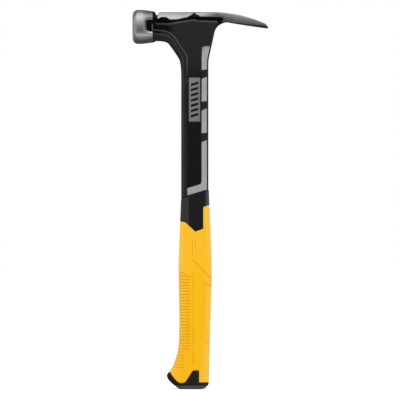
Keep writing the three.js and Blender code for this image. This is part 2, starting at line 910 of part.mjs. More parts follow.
// The grip's outer form, or the same form drawn in by an inset, from a start height to above the shoulder
function gripLoft(inset, start) {
  const heights = [0.05, 0.14, 0.27, 0.47, 0.73].map((share) => share * hookHeight);
  for (let k = 0; k + 1 < gripHeights.length; k += 1) {
    const low = gripHeights[k];
    const high = gripHeights[k + 1];
    const steps = Math.ceil((high - low) / (low > heelHeight ? gripLongStep : gripShortStep));
    for (let i = 0; i < steps; i += 1) heights.push(low + ((high - low) * i) / steps);
  }
  heights.push(gripLength, gripLength + reach / 5);
  const above = heights.filter((z) => z > start + fitGap);
  return loft([start, ...above].map((z) => gripRing(z, inset)));
}

function collarOutline() {
  const drop = (amount) => gripLength - amount;
  const cornerX = collarStepX + collarBackCorner;
  const shape = new THREE.Shape();
  shape.moveTo(-reach, drop(collarFrontDrop));
  shape.lineTo(collarCornerX, drop(collarFrontDrop));
  shape.lineTo(collarValleyX, drop(collarValleyDrop));
  shape.lineTo(collarStepX, drop(collarStepDrop));
  shape.lineTo(collarStepX, drop(collarBackDrop + collarBackCorner));
  shape.quadraticCurveTo(collarStepX, drop(collarBackDrop), cornerX, drop(collarBackDrop));
  shape.lineTo(reach, drop(collarBackDrop) + collarBackSlope * (reach - cornerX));
  shape.lineTo(reach, gripLength + reach);
  shape.lineTo(-reach, gripLength + reach);
  return shape;
}

function buttOutline() {
  const backEaseX = buttHollowBackX - buttHollowBackEase;
  const frontEaseX = buttHollowX - buttHollowFrontEase;
  const shape = new THREE.Shape();
  shape.moveTo(-reach, -reach);
  shape.lineTo(reach, -reach);
  shape.lineTo(reach, buttRim);
  shape.lineTo(spurBackX, buttRim);
  shape.lineTo(spurBackX, spurTop - spurCorner);
  shape.quadraticCurveTo(spurBackX, spurTop, spurBackX - spurCorner, spurTop);
  shape.lineTo(spurFrontX + 2 * spurCorner, spurTop);
  shape.quadraticCurveTo(spurFrontX + spurCorner / 2, spurTop, spurFrontX, spurTop - spurCorner);
  shape.lineTo(buttHollowBackX, (spurTop + buttHollowLow) / 2 - 2 * spurCorner);
  shape.quadraticCurveTo(backEaseX, buttHollowLow, buttHollowX, buttHollowLow);
  shape.quadraticCurveTo(frontEaseX, buttHollowLow, buttHollowFrontX, (hookRim + buttHollowLow) / 2);
  shape.lineTo(hookRimX, hookRim);
  shape.lineTo(-reach, hookRim);
  return shape;
}

function ribCutter() {
  const slots = [];
  for (let z = ribTop; z > ribBottom; z -= ribPitch) {
    const end = z < ribShortTop ? ribShortEndX : ribEndX;
    const geometry = new THREE.BoxGeometry(reach, reach, ribGroove);
    geometry.translate(end - reach / 2, 0, z);
    slots.push(solidOf(geometry));
  }
  return wasm.Manifold.union(slots);
}

function flankGroove() {
  const geometry = new THREE.BoxGeometry(grooveWidth, reach, ribTop - grooveBottom);
  geometry.translate(grooveX, 0, (ribTop + grooveBottom) / 2);
  return solidOf(geometry);
}

function palmPanel() {
  const outline = shapeOf([
    [panelX, panelTop - panelCorner / 2],
    [panelX, panelLow + 2 * panelCorner],
    [panelX + panelCorner, panelLow],
    [reach, panelLow],
    [reach, panelBackTop],
    [panelBackX, panelBackTop],
    [panelX + panelCorner / 4, panelTop],
  ]);
  return sidePrism(outline, -reach, reach);
}

// Space inside the facets of the collar
function collarFacets() {
  const frontTip = -collarFacetFront - collarFlatHalf / collarSlantFront;
  const backTip = collarFacetBack + collarFlatHalf / collarSlantBack;
  const outline = shapeOf([
    [frontTip, 0],
    [-collarFacetFront, -collarFlatHalf],
    [collarFacetBack, -collarFlatHalf],
    [backTip, 0],
    [collarFacetBack, collarFlatHalf],
    [-collarFacetFront, collarFlatHalf],
  ]);
  const geometry = new THREE.ExtrudeGeometry(outline, { depth: 2 * reach, bevelEnabled: false });
  geometry.translate(0, 0, gripLength - reach);
  return solidOf(geometry);
}

const gripOuter = gripLoft(0, 0);
const gripInner = gripLoft(sleeveWall, coreEnd - fitGap);

function gripSleeve() {
  const tube = gripOuter
    .subtract(gripInner)
    .subtract(sidePrism(collarOutline(), -reach, reach, { grow: fitGap }))
    .subtract(sidePrism(buttOutline(), -reach, reach, { grow: fitGap }));
  const ribs = ribCutter().subtract(gripLoft(ribDepth, 0));
  const groove = flankGroove().subtract(gripLoft(grooveDepth, 0));
  const panel = palmPanel().subtract(gripLoft(panelDepth, 0));
  return tube.subtract(ribs).subtract(groove).subtract(panel);
}

function gripCore() {
  const shoulder = shapeOf([
    [-reach, -reach],
    [reach, -reach],
    [reach, shoulderAt(reach) - fitGap],
    [-reach, shoulderAt(-reach) - fitGap],
  ]);
  const collar = gripOuter.intersect(sidePrism(collarOutline(), -reach, reach)).intersect(collarFacets());
  return gripLoft(sleeveWall + fitGap, coreEnd)
    .add(collar)
    .intersect(sidePrism(shoulder, -reach, reach))
    .subtract(tangBar(fitGap));
}

function buttCap() {
  return gripOuter.intersect(sidePrism(buttOutline(), -reach, reach)).subtract(gripInner);
}

// Assembly

const finish = (colour, roughness, metalness) =>
  new THREE.MeshStandardMaterial({ color: colour, roughness, metalness });

const piece = (name, solid, material) => {
  const mesh = new THREE.Mesh(geometryOf(solid), material);
  mesh.name = name;
  return mesh;
};

const group = new THREE.Group();
group.name = "framing_hammer";
group.add(piece("steel_body", steelBody(), finish(0x2b2b2d, 0.45, 0.6)));
group.add(piece("nail_magnet", magnetDisc(), finish(0x8c8e90, 0.3, 0.9)));
group.add(piece("grip_core", gripCore(), finish(0x1d1d1f, 0.6, 0)));
group.add(piece("grip_sleeve", gripSleeve(), finish(0xfbbf1f, 0.55, 0)));
group.add(piece("butt_cap", buttCap(), finish(0x1a1a1c, 0.6, 0)));

for (const side of ["front", "rear"]) {
  const flank = new THREE.Group();
  flank.name = `${side}_inlays`;
  flank.scale.y = side === "front" ? -1 : 1;
  for (const [name, outline] of Object.entries(barOutlines)) {
    const bar = sidePrism(outline, railHalf - barSeat + fitGap, railHalf + barProud, {
      bevel: inlayBevel,
    });
    flank.add(piece(`${name}_${side}`, bar, finish(0x9e9e9e, 0.5, 0.1)));
  }
  const plate = sidePrism(plateOutline(), webHalf - plateSeat + fitGap, webHalf + plateProud, {
    bevel: inlayBevel,
  });
  flank.add(piece(`name_plate_${side}`, plate, finish(0x7c7c7e, 0.5, 0.1)));
  group.add(flank);
}

export default group;
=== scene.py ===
import math

import bpy
import numpy as np
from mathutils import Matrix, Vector


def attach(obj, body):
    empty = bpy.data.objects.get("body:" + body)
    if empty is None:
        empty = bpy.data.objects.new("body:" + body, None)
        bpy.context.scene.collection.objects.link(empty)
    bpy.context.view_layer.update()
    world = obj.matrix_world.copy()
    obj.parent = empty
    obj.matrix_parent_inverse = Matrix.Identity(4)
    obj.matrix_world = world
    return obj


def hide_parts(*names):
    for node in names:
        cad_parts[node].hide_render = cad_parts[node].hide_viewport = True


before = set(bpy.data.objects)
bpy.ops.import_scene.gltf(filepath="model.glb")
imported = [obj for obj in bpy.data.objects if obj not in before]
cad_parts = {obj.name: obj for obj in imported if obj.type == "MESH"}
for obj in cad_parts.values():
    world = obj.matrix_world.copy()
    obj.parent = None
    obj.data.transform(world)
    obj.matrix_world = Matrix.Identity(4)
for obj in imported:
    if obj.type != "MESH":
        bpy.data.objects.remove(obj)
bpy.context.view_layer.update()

# Sizes are in millimetres, as in the CAD part. A rise is a height over the axis of the head.
MM = 0.001
GAP = 0.3
HEAD = 387.5
GRIP_LENGTH = 208.5
SHOULDER_SLOPE = 0.3
DIAGONAL = math.sqrt(0.5)
OUTSIDE = 60  # past every side of the shaft and grip

COARSE = 1.0

# Bell, its milled face, and the nail groove with its magnet
FACE_X = -67.2
BELL_RADIUS = 18.4
BELL_FLAT_RADIUS = 11.8
BELL_NOSE = 6.4
BELL_LAND = 2.0
BELL_REAR_X = -44.4
BELL_REAR_RADIUS = 16.8
BELL_DOME = 3.0
BELL_DOME_DROP = 6.0
BELL_DOME_START = 0.2
BELL_TABLE_REACH = 60
BELL_TABLE_STEP = 0.2
MILL_PITCH = 2.1
MILL_DEPTH = 1.2
MILL_SLOPE = 1.6
MILL_EASE = 0.7
POCKET_FLARE_DEPTH = 2.5
POCKET_FLARE = 4.0
NAIL_GROOVE_DEPTH = 2.6
NAIL_GROOVE_RADIUS = 2.2
MAGNET_X = -52.5
MAGNET_SEAT_RADIUS = 2.3
MAGNET_SEAT_DEPTH = 4.3

# Poll, cheek and neck
POLL_START_X = -51.0
POLL_HALF = 10.5
POLL_LOW = -15.0
POLL_TOP = 12.2
RIM_SLOPE = 0.55
ARM_X = -45.6
CHEEK_HALF = 12.5
CHEEK_FLANGE = 2.0
CHANNEL_HALF = 7.5
PEAK_X = -0.8
PEAK_HALF = 5.6
PEAK_STEP = 0.5
NECK_TOP_X = 20.3
NECK_TOP = -7.6
NECK_END = -41.0
NECK_BLEND = 6.0
NECK_FLARE = 1.6

# Shaft: a web between two rails, and the tang below it
SHAFT_FRONT = -14.5
SHAFT_BACK = 14.0
WEB_FRONT = -8.2
WEB_BACK = 6.3
WEB_HALF = 4.5
WEB_END = -50.5
RAIL_HALF = 7.5
RAIL_DRAFT = 1.2
RELIEF_LOW = -101.0
FOOT_RISE = 9.5
TANG_LOW = 32.0
TANG_TIP_HALF = 6.0
TANG_ROOT_HALF = 8.0
TANG_ROOT = 12.0
TANG_THICK_HALF = 3.0
TANG_HOLE_RADIUS = 3.5
TANG_HOLE_RISES = (26, 88)

# Bar along the top of the head, and the claw
BAR_START_X = -38.6
BAR_START_LEAN = 0.36
BAR_START_EASE = 0.9
BAR_START_HALF = 11.8
BAR_BEND_X = 17.0
BAR_TOP = 15.5
BAR_LOW_START = 7.3
BAR_LOW_MIDDLE = 9.9
BAR_LOW_BLEND = 9.3
CROWN_END_X = 25.0
CROWN_RUN = 30.0
CROWN_SLOPE_LOW = 0.58
SIDE_SLOPE_LOW = -0.05
SIDE_SLOPE_HIGH = 0.25
OVAL_LENGTH = 5.0
OVAL_HEIGHT = 2.4
OVAL_FLOOR_HALF = 9.0
CLAW_ROOT_X = 33.7
CLAW_ROOT_LOW = 5.2
CLAW_ROOT_BLEND = 12.0
CLAW_ROOT_DIP = 2.2
CLAW_HALF = 16.0
CLAW_RADIUS = 143.0
CLAW_ARC_REACH = 100.0
CLAW_FALL = 0.18
CLAW_FALL_LENGTH = 300.0
CLAW_BEVEL = 1.6
CLAW_BEVEL_X = 38.0
CLAW_BEVEL_RUN = 35.0
CLAW_TIP_X = 78.2
CLAW_TIP_HALF = 13.3
CLAW_TIP_THICK = 0.9
CHISEL = 2.8
CHISEL_RUN_OUT = 1.2
SLOT_X = 36.0
SLOT_LOW = -7.0
SLOT_TOP = 19.5
SLOT_LOW_HALF = 2.5
SLOT_DRAFT = 1.5
SLOT_SPREAD = 3.7

# Grey bars let into the rail, and the plate on the web
BAR_LIP = 0.8
BAR_CORNER = 3.0
BAR_TOP_RISE = -20.4
BAR_SIDE = WEB_BACK + BAR_LIP
BAR_EDGE = 1.3
BAR_BREAK = 7.0
BAR_SPACING = 33.8
BAR_SLANT = 2.6
BAR_FOOT_SLANT = 0.7
BAR_DEPTH = 1.3
BAR_PROUD = 0.3
TOP_BAR_LENGTH = 26.0
TOP_BAR_CORNER_X = 4.0
TOP_BAR_CORNER_Z = 4.4
FOOT_BAR_RISE = 0.9
PLATE_TOP_RISE = -54.4
PLATE_LENGTH = 47.0
PLATE_FRONT = WEB_FRONT + 1.6
PLATE_BACK = WEB_BACK - 0.6
PLATE_DEPTH = 0.5
PLATE_PROUD = 0.6
PLATE_SLOTS = 7
PLATE_SLOT_PITCH = 5.6
PLATE_SLOT_TILT = 0.3
PLATE_SLOT_HALF = 1.25
PLATE_SLOT_REACH = 4.0

# Grip: stations up the handle, with the reach to the finger side and to the palm side
GRIP_STATIONS = [15, 24, 42, 68, 122, GRIP_LENGTH]
GRIP_FRONT = [30.2, 24.4, 18.7, 17.2, 17.8, 14.8]
GRIP_BACK = [15.1, 15.2, 15.7, 16.8, 18.1, 15]
GRIP_POWER = 2.8
GRIP_THICK = 0.72
HOOK_TOP = GRIP_STATIONS[0]
HOOK_BLEND = GRIP_STATIONS[1]
HOOK_THIN = 0.08
BUTT_FRONT = 17.0
BUTT_BACK = 6.5
BUTT_HALF = 8.0
BUTT_ROUND = 8.0
SLEEVE_WALL = 3.0
PANEL_DEPTH = 0.45
RIB_TOP = 124.0
RIB_PITCH = 3.25
RIB_COUNT = 32
RIB_HALF = 0.6
RIB_DEPTH = 0.8
RIB_END_X = -5.8
RIB_LOW_END_X = -12.0
RIB_LOW = 42.0
RIB_SLANT = 0.57
RIB_SLANT_X = -14.5
RIB_SLANT_TOP = 125.4
GROOVE_X = -2.0
GROOVE_HALF = 1.3
GROOVE_LOW = 28.0
GROOVE_DEPTH = 0.6
CREASE_HALF = 0.4
CREASE_DEPTH = 0.4
FACET_HALF = 10.2
FACET_FRONT_X = -7.4
FACET_FRONT_SLOPE = 0.55
FACET_REAR_X = 11.6
FACET_REAR_SLOPE = 0.7
CORE_LOW = 6.5
SEAM_RISE = 3.0
SEAM_HALF = 0.35
SEAM_DEPTH = 0.4


# Solid fields: negative inside, positive outside, in millimetres

def join(a, b, radius=0):
    """Union with a fillet."""
    if radius == 0:
        return np.minimum(a, b)
    inside = np.hypot(np.maximum(radius - a, 0), np.maximum(radius - b, 0))
    return np.maximum(radius, np.minimum(a, b)) - inside


def meet(a, b, radius=0):
    """Intersection with rounded edges."""
    if radius == 0:
        return np.maximum(a, b)
    outside = np.hypot(np.maximum(radius + a, 0), np.maximum(radius + b, 0))
    return np.minimum(-radius, np.maximum(a, b)) + outside


def cut(a, b, radius=0):
    """The first solid without the second, with rounded edges."""
    return meet(a, -b, radius)


def share(value, run):
    """Zero below zero, rising to one over the run."""
    return np.clip(value / run, 0, 1)


def lean(slope):
    """The distance to a sloped plane, as a share of the height over it."""
    return 1 / math.hypot(1, slope)


def path(start, *moves, curve_steps=8):
    """Points along lines (x, z) and quadratic curves (control x, control z, x, z)."""
    points = [start]
    for move in moves:
        if len(move) == 2:
            points.append(move)
            continue
        x0, z0 = points[-1]
        cx, cz, x1, z1 = move
        for k in range(1, curve_steps + 1):
            t = k / curve_steps
            s = 1 - t
            x = s * s * x0 + 2 * s * t * cx + t * t * x1
            z = s * s * z0 + 2 * s * t * cz + t * t * z1
            points.append((x, z))
    return points


def segment_distance(a, b, x, z):
    """Square of the distance to a straight stretch in the side view."""
    ex = b[0] - a[0]
    ez = b[1] - a[1]
    t = np.clip(((x - a[0]) * ex + (z - a[1]) * ez) / (ex * ex + ez * ez), 0, 1)
    return (x - a[0] - t * ex) ** 2 + (z - a[1] - t * ez) ** 2


FAR = np.float32(1e9)


def region(outline, x, z):
    """Signed distance to a closed outline in the side view."""
    near = FAR
    inside = np.zeros(np.broadcast(x, z).shape, bool)
    for a, b in zip(outline, outline[1:] + outline[:1]):
        if a == b:
            continue
        near = np.minimum(near, segment_distance(a, b, x, z))
        if a[1] != b[1]:
            crossing = (b[0] - a[0]) * (z - a[1]) / (b[1] - a[1]) + a[0]
            inside ^= ((a[1] > z) != (b[1] > z)) & (x < crossing)
    return np.sqrt(near) * np.where(inside, -1, 1).astype(np.float32)


def line(points, x, z):
    """Distance to an open line in the side view."""
    near = FAR
    for a, b in zip(points, points[1:]):
        near = np.minimum(near, segment_distance(a, b, x, z))
    return np.sqrt(near)


def smooth_along(places, values):
    """Smooth curve through values at rising places, as a function of an array."""
    places = np.array(places, float)
    values = np.array(values, float)
    order = np.arange(len(places))
    last = len(places) - 1
    before = np.maximum(order - 1, 0)
    after = np.minimum(order + 1, last)
    slopes = (values[after] - values[before]) / (places[after] - places[before])

    def at(place):
        held = np.clip(place, places[0], places[-1])
        i = np.clip(np.searchsorted(places, held) - 1, 0, last - 1)
        span = places[i + 1] - places[i]
        t = (held - places[i]) / span
        s = 1 - t
        ends = values[i] * (1 + 2 * t) * s * s + values[i + 1] * (1 + 2 * s) * t * t
        return (ends + span * t * s * (slopes[i] * s - slopes[i + 1] * t)).astype(np.float32)

    return at


def up(rise):
    return HEAD + rise


def over_rise(z, *stops):
    """Straight change with height, through (rise, value) stops."""
    rises, values = zip(*stops)
    return np.interp(z, [up(rise) for rise in rises], values).astype(np.float32)


def shoulder(x):
    """Height of the slanted joint between shaft and grip."""
    return GRIP_LENGTH + SHOULDER_SLOPE * x


def foot_top(x):
    """Height of the slanted lower end of the web."""
    return shoulder(x) + FOOT_RISE


def drop(amount):
    """Height below the top of the grip."""
    return GRIP_LENGTH - amount


# Outlines in the side view

BODY = path(
    (POLL_START_X, up(POLL_LOW)),
    (-40.4, up(POLL_LOW)),
    (-31.4, up(POLL_LOW), -28.4, up(-17.7)),
    (-21.2, up(-27), -16.5, up(NECK_END + NECK_BLEND)),
    (SHAFT_FRONT, up(NECK_END), SHAFT_FRONT, up(NECK_END - 2 * NECK_BLEND)),
    (SHAFT_FRONT, shoulder(SHAFT_FRONT)),
    (SHAFT_BACK, shoulder(SHAFT_BACK)),
    (SHAFT_BACK, up(NECK_END)),
    (SHAFT_BACK, up(NECK_END + NECK_BLEND), SHAFT_BACK + NECK_FLARE, up(NECK_END + 2 * NECK_BLEND)),
    (NECK_TOP_X, up(NECK_TOP)),
    (CLAW_ROOT_X - CLAW_ROOT_BLEND, up(CLAW_ROOT_LOW - CLAW_ROOT_DIP), CLAW_ROOT_X, up(CLAW_ROOT_LOW)),
    (CLAW_ROOT_X, up(POLL_TOP)),
    (POLL_START_X, up(POLL_TOP)),
)
RAIL_STEP_TOP = up(BAR_TOP_RISE + BAR_LIP)
RAIL_STEP = [
    (WEB_BACK, up(BAR_TOP_RISE - BAR_CORNER)),
    (WEB_BACK, RAIL_STEP_TOP, WEB_BACK + BAR_CORNER, RAIL_STEP_TOP),
]
CHEEK = path(
    (ARM_X, up(-3.4)),
    (-34.0, up(-4.2)),
    (-25.5, up(-5.8), -20.7, up(-12.4)),
    (WEB_FRONT, up(-32)),
    (WEB_FRONT, foot_top(WEB_FRONT)),
    (WEB_BACK - BAR_CORNER, foot_top(WEB_BACK - BAR_CORNER)),
    (WEB_BACK, foot_top(WEB_BACK), WEB_BACK, foot_top(WEB_BACK) + BAR_CORNER),
    *RAIL_STEP,
    (NECK_TOP_X - 5.2, RAIL_STEP_TOP),
    (NECK_TOP_X - 2.6, up(NECK_TOP)),
    (NECK_TOP_X - 1.6, up(0), CLAW_ROOT_X - 10.8, up(4.4)),
    (PEAK_X + 3.2, up(5.1)),
    (PEAK_X, up(6.4)),
    (-20.0, up(3.4)),
    (-26.0, up(1.6), -32.0, up(1.8)),
    (ARM_X, up(2.6)),
)
RELIEF = path(
    (WEB_BACK, up(RELIEF_LOW)),
    *RAIL_STEP,
    (OUTSIDE, RAIL_STEP_TOP),
    (OUTSIDE, up(RELIEF_LOW)),
)
CHANNEL = [
    (-47, up(2)), (-30, up(1.5)), (PEAK_X, up(5)), (24, up(4)), (26.5, up(6.2)), (29.5, up(9.4)),
    (29.5, up(13)), (-47, up(13)),
]
PEAK = [
    (PEAK_X - 6, up(9.2)), (PEAK_X - PEAK_HALF, up(11.2)), (PEAK_X - 2.9, up(12.2)), (PEAK_X, up(15)),
    (PEAK_X + 2.8, up(12.3)), (PEAK_X + 5.4, up(12)), (PEAK_X + PEAK_HALF, up(9.2)),
]
POCKET = path(
    (BAR_START_X, up(-5.3)),
    (-48.6, up(-5.1)),
    (-51.6, up(-4.6), -51.8, up(-1.4)),
    (-51.8, up(3.6)),
    (-51.6, up(7), -48.8, up(7.2)),
    (BAR_START_X, up(BAR_LOW_START)),
)
TANG = [
    (-TANG_TIP_HALF, TANG_LOW), (TANG_TIP_HALF, TANG_LOW), (TANG_ROOT_HALF, GRIP_LENGTH),
    (TANG_ROOT_HALF, GRIP_LENGTH + TANG_ROOT), (-TANG_ROOT_HALF, GRIP_LENGTH + TANG_ROOT),
    (-TANG_ROOT_HALF, GRIP_LENGTH),
]
COLLAR = path(
    (-OUTSIDE, drop(29.6)), (-10.6, drop(29.6)), (0.4, drop(39.8)), (8.5, drop(36.8)), (8.5, drop(15.2)),
    (8.5, drop(12.8), 10.9, drop(12.8)), (OUTSIDE, drop(3)),
    (OUTSIDE, drop(-OUTSIDE)), (-OUTSIDE, drop(-OUTSIDE)),
)
BUTT = path(
    (-OUTSIDE, -OUTSIDE), (OUTSIDE, -OUTSIDE), (OUTSIDE, 7),
    (4, 7), (4, 18.6), (4, 19.9, 2.7, 19.9), (-0.3, 19.9),
    (-2.2, 19.9, -2.9, 18.6), (-8.1, 10.5), (-10.1, 6.4, -15.2, 6.4), (-18.2, 6.4, -23.2, 12.5),
    (-27.2, 18.6), (-OUTSIDE, 18.6),
)
PALM_PANEL = [
    (10.4, 114.6), (17, 109.8), (30, 109.8), (30, 62), (13.8, 61.4), (10.2, 65.8), (9.6, 70), (9.6, 112),
]

# Moulding lines on the sleeve: how dark the painted shade in each is, and its points
CREASES = [
    (0.25, [(-2.8, 160), (-2.8, 142.3)]),
    (0.25, [(0.4, 159.5), (0.4, 150.3)]),
    (0.7, [(-2.1, 137.7), (16.4, 119.2), (30, 106)]),
    (0.15, [(5.4, 164.1), (10, 167.6), (11.4, 172.6)]),
    (0.25, [(10.2, 53), (13.4, 49.8), (20, 49)]),
    (0.6, [(10.2, 114.6), (17, 109.8)]),
    (0.2, [(9.6, 112), (9.6, 70), (10.2, 65.8), (13.8, 61.4)]),
    (0.25, [(-14.5, 125.8), (-3.8, 119.7)]),
]

# Bare steel lies inside this outline: the top of the head and the claw. The rest, but for the bell, is coated
PEAK_COAT = 0.25
BARE_TOP = [
    (-40.6, up(40)), (-40.6, up(9.4)), (-38.9, up(8.8)), (-37.5, up(10)), (-33.5, up(10.5)), (-30, up(10)),
    (-27.8, up(8.4)), (-27, up(7.4)), (-24, up(7.1)), (-19.8, up(7.5)), (-14.3, up(8.7)), (-7.5, up(10.1)),
    *[(x, z + PEAK_COAT) for x, z in PEAK[1:6]],
    (5.0, up(10.6)), (10.2, up(10.4)), (23.9, up(10.3)), (28.7, up(10.1)), (30.7, up(8.7)), (30.2, up(6.9)),
    (28.6, up(5.4)), (28, up(-40)), (90, up(-40)), (90, up(40)),
]

# Half of the bell's section, in x and radius
BELL = (
    [(FACE_X, 0)]
    + [(FACE_X + BELL_NOSE * (1 - math.cos(turn)),
        BELL_FLAT_RADIUS + (BELL_RADIUS - BELL_FLAT_RADIUS) * math.sin(turn))
       for turn in np.linspace(0, math.pi / 2, 13)]
    + path((FACE_X + BELL_NOSE + BELL_LAND, BELL_RADIUS),
           ((FACE_X + BELL_REAR_X) / 2, BELL_RADIUS, BELL_REAR_X, BELL_REAR_RADIUS))
    + [(BELL_REAR_X + BELL_DOME * math.sin(turn),
        BELL_REAR_RADIUS - BELL_DOME_DROP * (1 - math.cos(turn)))
       for turn in np.linspace(BELL_DOME_START, math.pi / 2, 8)]
    + [(BELL_REAR_X + BELL_DOME, 0)]
)


def rail_edge(z):
    """Rear edge of the grey bars: a little inside the rear of the shaft and neck."""
    start = NECK_END + 2 * NECK_BLEND
    slope = (NECK_TOP_X - SHAFT_BACK - NECK_FLARE) / (NECK_TOP - start)
    return SHAFT_BACK + max((z - HEAD - start) * slope + NECK_FLARE, 0) - BAR_EDGE


def bar_ends(order):
    """Top and bottom of a grey bar, counted from the head."""
    first_end = up(BAR_TOP_RISE) - TOP_BAR_LENGTH
    top = first_end - BAR_BREAK - (order - 1) * BAR_SPACING
    if order == 0:
        top = up(BAR_TOP_RISE)
    return top, first_end - order * BAR_SPACING


def top_bar():
    top, bottom = bar_ends(0)
    flare = up(NECK_END + NECK_BLEND)
    return path(
        (BAR_SIDE, bottom),
        (rail_edge(bottom), bottom + BAR_FOOT_SLANT),
        (rail_edge(flare), flare),
        (rail_edge(top), top),
        (BAR_SIDE + TOP_BAR_CORNER_X, top),
        (BAR_SIDE, top, BAR_SIDE, top - TOP_BAR_CORNER_Z),
    )


def plain_bar(order):
    top, bottom = bar_ends(order)
    return [
        (BAR_SIDE, bottom),
        (rail_edge(bottom), bottom + BAR_FOOT_SLANT),
        (rail_edge(top), top),
        (BAR_SIDE, top - BAR_SLANT),
    ]


def foot_bar():
    top, _ = bar_ends(3)
    right = rail_edge(top)
    bend = BAR_SIDE - BAR_CORNER

    def arm_top(x):
        return foot_top(x) - BAR_LIP

    return path(
        (WEB_FRONT, shoulder(WEB_FRONT) + FOOT_BAR_RISE),
        (right, shoulder(right) + FOOT_BAR_RISE),
        (right, top),
        (BAR_SIDE, top - BAR_SLANT),
        (BAR_SIDE, arm_top(BAR_SIDE) + BAR_CORNER),
        (BAR_SIDE, arm_top(BAR_SIDE), bend, arm_top(bend)),
        (WEB_FRONT, arm_top(WEB_FRONT)),
    )


BARS = {
    "inlay_top": top_bar(),
    "inlay_upper": plain_bar(1),
    "inlay_middle": plain_bar(2),
    "inlay_foot": foot_bar(),
}
PLATE_TOP = up(PLATE_TOP_RISE)
PLATE_LOW = PLATE_TOP - PLATE_LENGTH
PLATE = [(PLATE_FRONT, PLATE_LOW), (PLATE_BACK, PLATE_LOW), (PLATE_BACK, PLATE_TOP), (PLATE_FRONT, PLATE_TOP)]


# Meshes from fields

def spaced(start, *runs):
    """Grid places from a start, through runs of (end, step)."""
    places = [start]
    for end, step in runs:
        begin = places[-1]
        count = max(1, round((end - begin) / (step * COARSE)))
        places += [begin + (end - begin) * k / count for k in range(1, count + 1)]
    return np.array(places, np.float32)


CORNERS = [(i, j, k) for i in (0, 1) for j in (0, 1) for k in (0, 1)]


def cell_points(values, cells, grid):
    """One point in each cell: the middle of the places where its edges cross the zero level."""
    total = np.zeros((len(cells), 3))
    hits = np.zeros((len(cells), 1))
    for corner in CORNERS:
        for axis in range(3):
            if corner[axis]:
                continue
            other = [corner[m] + (m == axis) for m in range(3)]
            value = values[tuple((cells + corner).T)]
            other_value = values[tuple((cells + other).T)]
            crosses = (value < 0) != (other_value < 0)
            change = np.where(value == other_value, 1, value - other_value)
            along = np.where(crosses, value / change, 0)
            point = np.array(corner, float) + along[:, None] * (np.arange(3) == axis)
            total += np.where(crosses[:, None], point, 0)
            hits += crosses[:, None]
    spot = cells + total / hits
    return np.stack([np.interp(spot[:, m], np.arange(len(g)), g) for m, g in enumerate(grid)], 1)


def cell_quads(inside, number):
    """A quad round each grid edge that crosses the surface, turned outwards."""
    units = np.eye(3, dtype=int)
    faces = []
    for axis in range(3):
        below = [slice(1, -1)] * 3
        below[axis] = slice(0, -1)
        above = list(below)
        above[axis] = slice(1, None)
        edges = np.argwhere(inside[tuple(below)] != inside[tuple(above)])
        start = edges + 1 - units[axis]
        one = units[(axis + 1) % 3]
        two = units[(axis + 2) % 3]
        ring = [start - one - two, start - two, start, start - one]
        quads = np.stack([number[tuple(cell.T)] for cell in ring], 1)
        outward = inside[tuple(start.T)]
        quads[~outward] = quads[~outward][:, ::-1]
        faces.append(quads)
    return np.concatenate(faces)


def net(values, grid):
    """Points and quads round the zero level of a field sampled on a grid."""
    inside = values < 0
    count = np.zeros([n - 1 for n in values.shape], np.uint8)
    for i, j, k in CORNERS:
        count += inside[i:i + count.shape[0], j:j + count.shape[1], k:k + count.shape[2]]
    cells = np.argwhere((count > 0) & (count < len(CORNERS)))
    number = np.full(count.shape, -1, np.int64)
    number[tuple(cells.T)] = np.arange(len(cells))
    return cell_points(values, cells, grid), cell_quads(inside, number)


def bend_of(points, quads):
    """How far each point stands proud of its neighbours, smoothed: positive on edges, negative in hollows."""
    pairs = np.concatenate([quads[:, [k, (k + 1) % 4]] for k in range(4)])
    a = pairs[:, 0]
    b = pairs[:, 1]
    size = len(points)
    degree = np.maximum(np.bincount(a, minlength=size) + np.bincount(b, minlength=size), 1)

    def around(values):
        return (np.bincount(a, values[b], size) + np.bincount(b, values[a], size)) / degree

    def gathered(values):
        return sum(np.bincount(quads[:, k], values, size) for k in range(4))

    mean = np.stack([around(points[:, m]) for m in range(3)], 1)
    corners = [points[quads[:, k]] for k in range(4)]
    across = np.cross(corners[2] - corners[0], corners[3] - corners[1])
    normal = np.stack([gathered(across[:, m]) for m in range(3)], 1)
    normal /= np.maximum(np.linalg.norm(normal, axis=1, keepdims=True), 1e-9)
    proud = np.sum((points - mean) * normal, axis=1)
    for _ in range(2):
        proud = (proud + around(proud)) / 2
    return proud


def put(mesh, name, values):
    """Stores one number for each point of a mesh."""
    layer = mesh.attributes.new(name, "FLOAT", "POINT")
    layer.data.foreach_set("value", np.asarray(values, np.float32))


def placed(name, data):
    """A new object in the scene."""
    made = bpy.data.objects.new(name, data)
    bpy.context.scene.collection.objects.link(made)
    return made


def build(name, field, xs, ys, zs, side=0):
    """A piece from a field that mirrors across y = 0. Side 0 is both flanks, -1 the front, 1 the rear."""
    values = field(xs[:, None, None], ys[None, :, None], zs[None, None, :])
    if side == 0:
        values = np.concatenate([values[:, ::-1], values], 1)
        ys = np.concatenate([-ys[::-1], ys])
    elif side < 0:
        values = values[:, ::-1]
        ys = -ys[::-1]
    points, quads = net(values.astype(np.float32), (xs, ys, zs))
    mesh = bpy.data.meshes.new(name)
    mesh.from_pydata((points * MM).tolist(), [], quads.tolist())
    mesh.polygons.foreach_set("use_smooth", np.ones(len(quads), bool))
    put(mesh, "proud", bend_of(points, quads))
    return placed(name, mesh), points


# Steel forging

